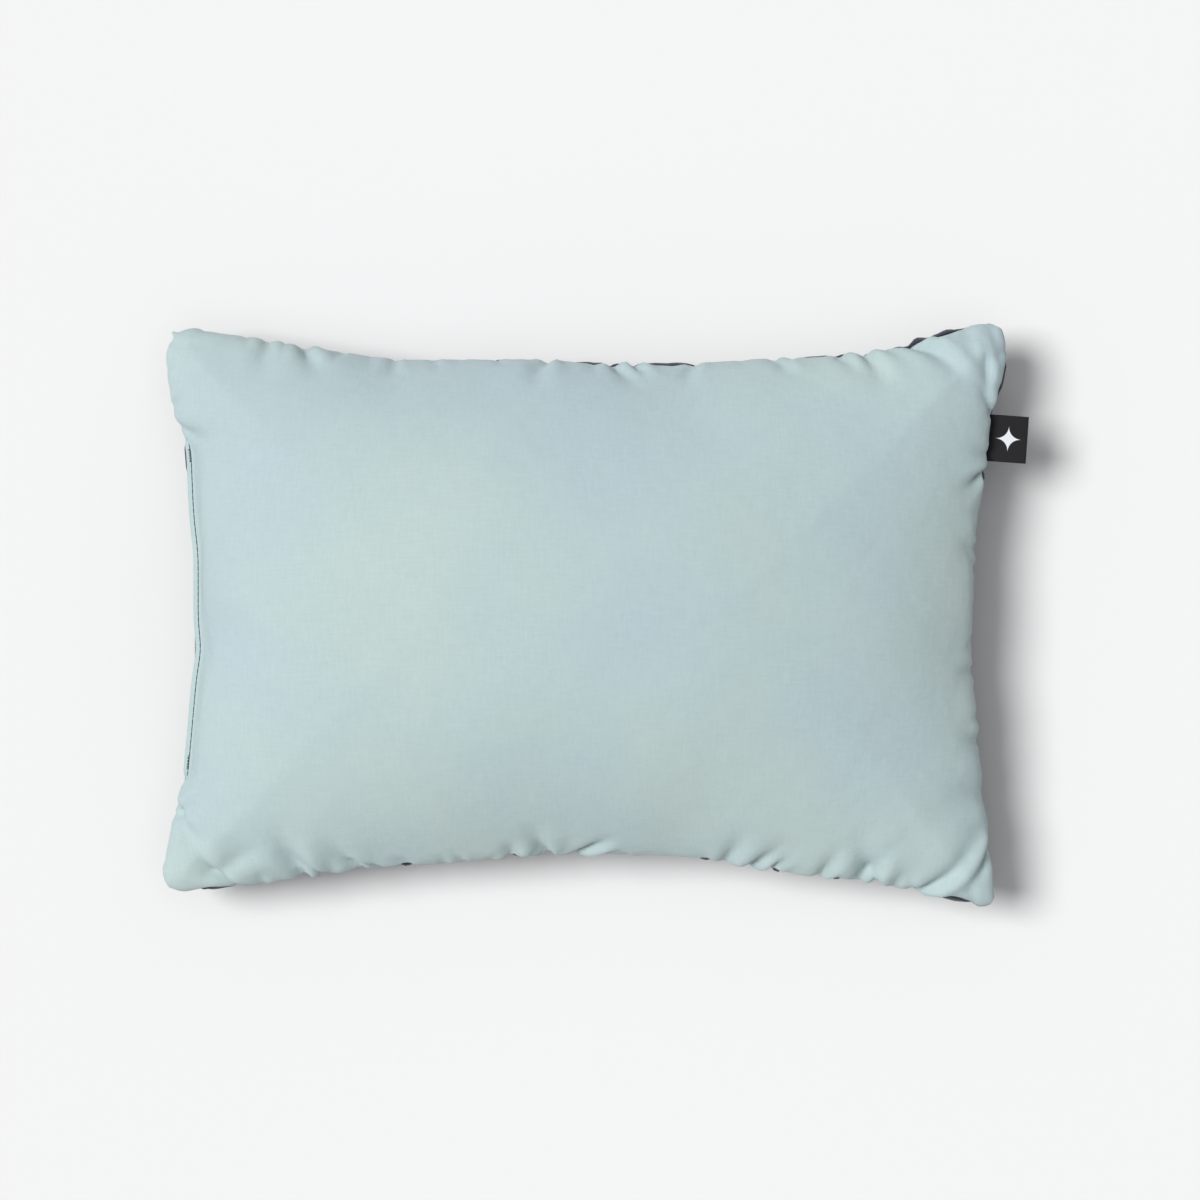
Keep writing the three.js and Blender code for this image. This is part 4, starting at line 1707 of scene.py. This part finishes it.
@dataclass(frozen=True)
class StitchRow:
    """A row of equal stitches along a line.

    Attributes:
        pitch: From one stitch to the next.
        length: Length of the thread that shows.
        radius: The thread's radius.
        sink: How far each end dives into the cloth. Negative for a row seen from below.
        turn: Degrees that each stitch turns from the line.
        zigzag: Degrees that every second stitch turns further.
    """

    pitch: float = 3.0
    length: float = 2.95
    radius: float = 0.36
    sink: float = 0.4
    turn: float = 0.0
    zigzag: float = 0.0

    def sew(self, name: str, path: np.ndarray, finish: Finish, closed: bool = False) -> bpy.types.Object:
        """Lays the row along a path.

        Args:
            name: The row's name.
            path: Points in millimetres.
            finish: The thread.
            closed: True if the path comes back to its start.

        Returns:
            The row as a plain mesh.
        """
        made = NodeTree(
            name,
            {
                "Pitch": ("Float", self.pitch * MM),
                "Half length": ("Float", self.length / 2 * MM),
                "Radius": ("Float", self.radius * MM),
                "Sink": ("Float", self.sink * MM),
                "Turn": ("Float", math.radians(self.turn)),
                "Zigzag": ("Float", math.radians(self.zigzag)),
                "Material": ("Material", finish.material()),
            },
        )
        given = made.source.outputs
        places = made.add(
            "GeometryNodeCurveToPoints", {"Curve": given["Geometry"], "Length": given["Pitch"]}, mode="LENGTH"
        )
        points = {}
        for point, along, down in (
            ("Start", -1.0, -1.0), ("Start Handle", -0.75, 0.6), ("End Handle", 0.75, 0.6), ("End", 1.0, -1.0),
        ):  # fmt: skip
            x, z = (
                made.add("ShaderNodeMath", {0: given[size], 1: share}, operation="MULTIPLY").outputs[0]
                for size, share in (("Half length", along), ("Sink", down))
            )
            points[point] = made.add("ShaderNodeCombineXYZ", {"X": x, "Z": z}).outputs[0]
        thread = made.add("GeometryNodeCurvePrimitiveBezierSegment", {"Resolution": 7, **points})
        section = made.add("GeometryNodeCurvePrimitiveCircle", {"Resolution": 7, "Radius": given["Radius"]})
        stitch = made.add(
            "GeometryNodeCurveToMesh",
            {"Curve": thread.outputs[0], "Profile Curve": section.outputs[0], "Fill Caps": True},
        )
        tangent = {"Vector": places.outputs["Tangent"]}
        facing = made.add("FunctionNodeAlignRotationToVector", tangent, axis="X", pivot_axis="Z")
        number = made.add("GeometryNodeInputIndex")
        parity = made.add("ShaderNodeMath", {0: number.outputs[0], 1: 2.0}, operation="MODULO")
        swing = {0: parity.outputs[0], 1: given["Zigzag"], 2: given["Turn"]}
        extra = made.add("ShaderNodeMath", swing, operation="MULTIPLY_ADD")
        angle = made.add("ShaderNodeCombineXYZ", {"Z": extra.outputs[0]})
        both = {"Rotation": facing.outputs[0], "Rotate By": angle.outputs[0]}
        turned = made.add("FunctionNodeRotateRotation", both, rotation_space="LOCAL")
        row = made.add(
            "GeometryNodeInstanceOnPoints",
            {"Points": places.outputs["Points"], "Instance": stitch.outputs[0], "Rotation": turned.outputs[0]},
        )
        made.end(row.outputs[0])
        return made.run(name, line_through(path, closed))


@dataclass
class Sewing:
    """Every thread that holds the pillow together.

    Attributes:
        shell: The shell.
        mouth: Its mouth.
        overlock_pitch: From one overlock stitch to the next.
    """

    shell: Shell
    mouth: Mouth
    overlock_pitch: float = 2.6

    def build(self) -> list[bpy.types.Object]:
        """Sews the edge stitching, the bartacks and the overlocked seam.

        Returns:
            The threads.
        """
        made = []
        for grid, side, word in ((self.shell.front, 1, "front"), (self.shell.back, -1, "back")):
            line = grid[np.abs(grid[:, 0, 1]) < self.mouth.half + 1.5, 0] + [0, 0, side * 0.06]
            row = StitchRow(sink=0.4 * side).sew("edge_row_" + word, line, DARK_THREAD)
            row = one_piece(row.name + "_thread", [row], DARK_THREAD)
            made.append(settle_piece(row, Body.PILLOW, "thread_dark", "edge_stitching_" + word))
        line = self.shell.front[:, 0]
        for end, word in ((1, "top"), (-1, "bottom")):
            made.append(self.bartack(line, end, word))
        made.append(self.overlock())
        return made

    def bartack(self, line: np.ndarray, end: int, word: str) -> bpy.types.Object:
        """Sews a dense zigzag across the lip's edge stitching.

        Args:
            line: The seam's points on the left side.
            end: 1 for the upper end of the mouth, -1 for the lower.
            word: That end's name.

        Returns:
            The bartack.
        """
        y = end * np.linspace(self.mouth.half - 6.5, self.mouth.half - 0.5, 20)
        order = np.argsort(line[:, 1])
        path = np.column_stack([np.interp(y, line[order, 1], line[order, k]) for k in (0, 1, 2)])
        path[:, 0] -= 0.2
        path[:, 2] += 0.12
        row = StitchRow(pitch=0.62, length=1.5, radius=0.24, sink=0.4, turn=84, zigzag=14)
        piece = row.sew("bartack_" + word, path, DARK_THREAD)
        piece = one_piece("bartack_thread_" + word, [piece], DARK_THREAD)
        return settle_piece(piece, Body.PILLOW, "thread_dark", "bartack_" + word)

    def overlock(self) -> bpy.types.Object:
        """Loops over the seam allowances' edge, above, below and along it.

        Returns:
            The thread.
        """
        panels = Panels(self.shell, self.mouth)
        rim = panels.rim()
        edge = np.array([self.shell.front[place] for place in rim])
        inward = panels.rim_inward(self.shell.front)
        clear = (edge[:, 0] > -150) | (np.abs(edge[:, 1]) > self.mouth.half + 12)
        start = int(np.argmax(clear & ~np.roll(clear, 1)))
        order = np.roll(np.arange(len(rim)), -start)
        order = order[clear[order]]
        level = (self.shell.front[..., 2] + self.shell.back[..., 2]) / 2
        height = np.array([level[place] for place in rim])

        def ring(depth: float, lift: float) -> np.ndarray:
            """Draws a line that follows the seam.

            Args:
                depth: How far inside the seam it runs.
                lift: How far over the seam's plane.

            Returns:
                The line's points.
            """
            points = np.column_stack([edge[:, :2] + inward * depth, height + lift])[order]
            window = np.ones(5) / 5
            padded = np.pad(points, [(2, 2), (0, 0)], mode="edge")
            return np.column_stack([np.convolve(line, window, mode="valid") for line in padded.T])

        inner, outer = self.mouth.allowance - 1.2, self.mouth.allowance + 0.7
        across = StitchRow(self.overlock_pitch, 3.6, 0.2, 0.3, 62)
        rows = [
            row.sew("overlock_" + word, ring(depth, lift), PALE_THREAD)
            for word, row, depth, lift in (
                ("above", across, inner, 0.62),
                ("below", replace(across, sink=-0.3), inner, -0.62),
                ("edge", StitchRow(self.overlock_pitch, 2.5, 0.22, 0.15), outer, 0.0),
            )
        ]
        piece = one_piece("overlock_thread", rows, PALE_THREAD)
        return settle_piece(piece, Body.PILLOW, "thread_light", "seam_overlock_thread")


# ---------------------------------------------------------------------------- the zip


def softened(node: str, name: str, edge: float, finish: Finish) -> bpy.types.Object:
    """Copies a CAD piece with its edges rounded.

    Args:
        node: The CAD node.
        name: The new piece's name.
        edge: The rounding's width, in millimetres.
        finish: What it wears.

    Returns:
        The rounded piece.
    """
    shape = bmesh.new()
    shape.from_mesh(bpy.data.objects[node].data)
    bmesh.ops.remove_doubles(shape, verts=shape.verts, dist=1e-6)
    bmesh.ops.dissolve_limit(shape, angle_limit=math.radians(2), verts=shape.verts, edges=shape.edges)
    sharp = [e for e in shape.edges if len(e.link_faces) == 2 and e.calc_face_angle(0) > math.radians(25)]
    bmesh.ops.bevel(
        shape, geom=sharp, offset=edge * MM, segments=2, profile=0.6, affect="EDGES", clamp_overlap=True
    )
    mesh = bpy.data.meshes.new(name)
    shape.to_mesh(mesh)
    shape.free()
    mesh.polygons.foreach_set("use_smooth", [True] * len(mesh.polygons))
    made = bpy.data.objects.new(name, mesh)
    bpy.context.scene.collection.objects.link(made)
    return finish.wear(made)


@dataclass(frozen=True)
class ZipChain:
    """Tapes, spiral coils, stops, slider and pull tab. The stacked chain stands on edge in the mouth.

    Attributes:
        wire: Radius of the coil's filament.
        coil_pitch: From one turn to the next.
        tape: Thickness of a tape.
    """

    wire: float = 0.24
    coil_pitch: float = 1.4
    tape: float = 0.4

    def build(self) -> list[bpy.types.Object]:
        """Makes every piece of the zip.

        Returns:
            The pieces.
        """
        made = []
        for side, word in ((1, "front"), (-1, "back")):
            made += [self.make_tape(side, word), self.make_coil(word)]
            made.append(self.cast("zip_top_stop_" + word, "top_stop_clamp_" + word, 0.18, Body.PILLOW))
        made.append(self.cast("zip_bottom_stop", "bottom_stop_clamp", 0.3, Body.PILLOW))
        made.append(self.cast("zip_slider", "slider_casting", 0.14, Body.SLIDER))
        made.append(self.cast("zip_pull_tab", "pull_tab_casting", 0.12, Body.PULL))
        return made

    def cast(self, node: str, name: str, edge: float, body: Body) -> bpy.types.Object:
        """Makes one metal piece from its CAD node, with rounded edges.

        Args:
            node: The CAD node.
            name: The piece's name.
            edge: The rounding's width.
            body: What it rides on.

        Returns:
            The piece.
        """
        return settle_piece(softened(node, name, edge, METAL), body, "slider_metal", node)

    def make_tape(self, side: int, word: str) -> bpy.types.Object:
        """Makes one tape: its edge turned to carry the coil, the rest sewn flat under the lip.

        Args:
            side: 1 for the front lip's tape, -1 for the back lip's.
            word: That lip's name.

        Returns:
            The tape.
        """
        low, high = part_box("zip_tape_" + word)
        x0, x1 = low.x / MM + self.tape / 2, high.x / MM
        tip, flat = (low.z / MM, high.z / MM)[::side]
        flat -= side * self.tape / 2
        y = np.linspace(low.y / MM, high.y / MM, 78)
        bend = np.linspace(0, math.pi / 2, 6)
        radius = 0.5
        profile = [(x0, tip), (x0, (tip + flat) / 2)]
        profile += [(x0 + radius * (1 - math.cos(a)), flat - side * radius * (1 - math.sin(a))) for a in bend]
        profile += [(x, flat) for x in np.linspace(x0 + 1.5, x1, 10)]
        profile = np.array(profile)
        run = np.concatenate([[0], np.cumsum(np.linalg.norm(np.diff(profile, axis=0), axis=1))])
        middle = np.empty((len(profile), len(y), 3))
        middle[..., 0], middle[..., 1], middle[..., 2] = profile[:, :1], y[None], profile[:, 1:]
        uv = np.stack(np.broadcast_arrays(run[:, None], y[None]), axis=-1)
        piece = slab("tape_" + word, middle[::side], self.tape, TAPE, uv[::side])
        settle_piece(piece, Body.PILLOW, "zip_tape", "zip_tape_" + word)
        return piece

    def make_coil(self, word: str) -> bpy.types.Object:
        """Winds one coil from a filament, inside its CAD box.

        Args:
            word: Name of the lip that it belongs to.

        Returns:
            The coil.
        """
        low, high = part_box("zip_coil_" + word)
        size, middle = high - low, (low + high) / 2
        wire = self.wire * MM
        made = NodeTree(
            "coil_" + word,
            {
                "Length": ("Float", size.y - 2 * wire),
                "Pitch": ("Float", self.coil_pitch * MM),
                "Width": ("Float", size.x - 2 * wire),
                "Depth": ("Float", size.z - 2 * wire),
                "Wire": ("Float", wire),
                "Material": ("Material", COIL.material()),
            },
        )
        given = made.source.outputs
        turns = made.add("ShaderNodeMath", {0: given["Length"], 1: given["Pitch"]}, operation="DIVIDE")
        spiral = made.add(
            "GeometryNodeCurveSpiral",
            {
                "Resolution": 10,
                "Rotations": turns.outputs[0],
                "Start Radius": 0.5,
                "End Radius": 0.5,
                "Height": given["Length"],
            },
        )
        scale = made.add("ShaderNodeCombineXYZ", {"X": given["Width"], "Y": given["Depth"], "Z": 1.0})
        flatter = made.add("GeometryNodeTransform", {"Geometry": spiral.outputs[0], "Scale": scale.outputs[0]})
        start = (middle.x, high.y - wire, middle.z)
        laid = made.add(
            "GeometryNodeTransform",
            {"Geometry": flatter.outputs[0], "Translation": start, "Rotation": (math.pi / 2, 0.0, 0.0)},
        )
        section = made.add("GeometryNodeCurvePrimitiveCircle", {"Resolution": 6, "Radius": given["Wire"]})
        filament = made.add(
            "GeometryNodeCurveToMesh",
            {"Curve": laid.outputs[0], "Profile Curve": section.outputs[0], "Fill Caps": True},
        )
        made.end(filament.outputs[0])
        piece = made.run("coil_" + word, bpy.data.meshes.new("coil base"))
        piece = one_piece("coil_filament_" + word, [piece], COIL)
        return settle_piece(piece, Body.PILLOW, "zip_coil", "zip_coil_" + word)


# ---------------------------------------------------------------------------- side label


@dataclass(frozen=True)
class SideLabel:
    """A damask label folded in half and sewn into the right seam.

    Attributes:
        pivot: Where it leaves the seam, in plan.
        tilt: Degrees that it leans.
        length: From the seam to the fold.
        height: Along the seam.
        cloth: Thickness of one leaf.
        spread: Half the distance between the leaves' middles.
        sewn_in: Length held inside the seam.
    """

    pivot: tuple[float, float] = (191.3, 80.5)
    tilt: float = -4.0
    length: float = 17.3
    height: float = 22.0
    cloth: float = 0.4
    spread: float = 0.24
    sewn_in: float = 5.0

    def build(self, seam: float) -> bpy.types.Object:
        """Folds the label, with a slight curl in its free part.

        Args:
            seam: The seam's height.

        Returns:
            The label.
        """
        fold = np.linspace(0, math.pi, 7)
        reach = self.length - self.cloth / 2 - self.spread
        out = np.linspace(-self.sewn_in, reach - 0.6, 34)
        top = [(x, self.spread) for x in out]
        turn = [(reach + self.spread * math.sin(a), self.spread * math.cos(a)) for a in fold]
        profile = np.array(top + turn + [(x, -z) for x, z in reversed(top)])
        run = np.concatenate([[0], np.cumsum(np.linalg.norm(np.diff(profile, axis=0), axis=1))])
        y = np.linspace(-self.height / 2, self.height / 2, 45)
        local_x = np.broadcast_to(profile[:, :1], (len(profile), len(y)))
        local_y = np.broadcast_to(y[None], local_x.shape)
        free = np.clip(local_x / self.length, 0, 1)
        curl = 0.5 * free**2 * (local_y / self.height) - 0.35 * free**2
        angle = math.radians(self.tilt)
        middle = np.stack(
            [
                self.pivot[0] + local_x * math.cos(angle) - local_y * math.sin(angle),
                self.pivot[1] + local_x * math.sin(angle) + local_y * math.cos(angle),
                seam + profile[:, 1:] + curl,
            ],
            axis=-1,
        )
        place = run - self.sewn_in
        off_the_mark = 100.0
        place = np.where(run > run[-1] / 2, place + off_the_mark, place)
        uv = np.stack(np.broadcast_arrays(place[:, None], y[None]), axis=-1) - UV_SHIFT
        label = slab("folded_label", middle, self.cloth, LABEL_WEAVE, uv)
        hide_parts("side_label")
        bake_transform(label)
        LOG.info("%s: %d faces, bends at the seam", label.name, len(label.data.polygons))
        return label


# ---------------------------------------------------------------------------- stage


@dataclass(frozen=True)
class Studio:
    """A pale sweep, one large soft light high on the left, and light from all round.

    Attributes:
        centre: Where the camera stands over, in plan.
        distance: Its height over the seam.
        lens: Its focal length.
        key: Strength of the light from the left.
        overhead: Strength of the light from above.
        ambient: Strength of the light from all round.
        backdrop: Brightness of what lies beyond the floor.
    """

    centre: tuple[float, float] = (7.5, 4.2)
    distance: float = 1568.0
    lens: float = 100.0
    key: float = 2.8
    overhead: float = 0.56
    ambient: float = 0.2
    backdrop: float = 0.9

    def light(self, name: str, energy: float, spread: float, way: Vector) -> None:
        """Adds one distant light.

        Args:
            name: The light's name.
            energy: Its strength.
            spread: Degrees that it covers in the sky.
            way: The way that its light travels.
        """
        lamp = bpy.data.lights.new(name, "SUN")
        lamp.energy = energy
        lamp.angle = math.radians(spread)
        holder = bpy.data.objects.new(name, lamp)
        holder.rotation_euler = way.to_track_quat("-Z", "Y").to_euler()
        bpy.context.scene.collection.objects.link(holder)

    def build(self, seam: float) -> None:
        """Makes the floor, the lights and the camera.

        Args:
            seam: Height that the camera frames, in millimetres.
        """
        scene = bpy.context.scene
        mesh = bpy.data.meshes.new("floor")
        mesh.from_pydata([(-3, -3, 0), (3, -3, 0), (3, 3, 0), (-3, 3, 0)], [], [(0, 1, 2, 3)])
        floor = bpy.data.objects.new("floor", mesh)
        Finish("studio floor", "e8e8e8", 0.9, {"Specular IOR Level": 0.0}).wear(floor)
        scene.collection.objects.link(floor)
        floor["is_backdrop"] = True

        world = bpy.data.worlds.new("studio")
        world.use_nodes = True
        tree = world.node_tree
        seen = add_node(tree, "ShaderNodeLightPath").outputs["Is Camera Ray"]
        strength = add_node(
            tree, "ShaderNodeMapRange", {"Value": seen, "To Min": self.ambient, "To Max": self.backdrop}
        )
        tree.nodes["Background"].inputs["Color"].default_value = linear("f4f6fa")
        tree.links.new(strength.outputs[0], tree.nodes["Background"].inputs["Strength"])
        scene.world = world
        self.light("softbox", self.key, 24, Vector((1.0, -0.24, -1.78)))
        self.light("overhead silk", self.overhead, 50, Vector((0.0, 0.0, -1.0)))

        lens = bpy.data.cameras.new("camera")
        lens.lens, lens.sensor_width = self.lens, 36.0
        lens.clip_end = 20.0
        camera = bpy.data.objects.new("camera", lens)
        camera.location = (self.centre[0] * MM, self.centre[1] * MM, (seam + self.distance) * MM)
        scene.collection.objects.link(camera)
        scene.camera = camera
        scene.view_settings.view_transform = "Standard"


# ---------------------------------------------------------------------------- the whole pillow


def main() -> None:
    """Builds the pillow's pieces in the order that they are sewn."""
    logging.basicConfig(level=logging.INFO, format="%(name)s: %(message)s")
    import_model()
    cad_low, cad_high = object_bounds()
    slider_low, slider_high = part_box("zip_slider")
    seam = (slider_low.z + slider_high.z) / 2 / MM

    Studio().build(seam)
    shell = Stuffing().fill(PanelCut())
    shell.calm()
    factor = 3
    shell = Shell(*(refined(grid, factor) for grid in (shell.front, shell.back, shell.flat)))
    Lie(seam=seam, crown=cad_high.z / MM).settle(shell)
    Outline().fit(shell)
    Corners().turn(shell)
    SeamRoll().turn(shell)
    ungathered = Shell(shell.front.copy(), shell.back.copy(), shell.flat)
    Gathering().draw_up(shell)
    mouth = Mouth()
    for sewn in (shell, ungathered):
        mouth.part(sewn)
    Panels(shell, mouth).build()
    Batt().build(ungathered, seam)
    StowPocket().build(seam)
    Sewing(shell, mouth).build()
    ZipChain().build()
    SideLabel().build(seam)


if __name__ == "__main__":
    main()
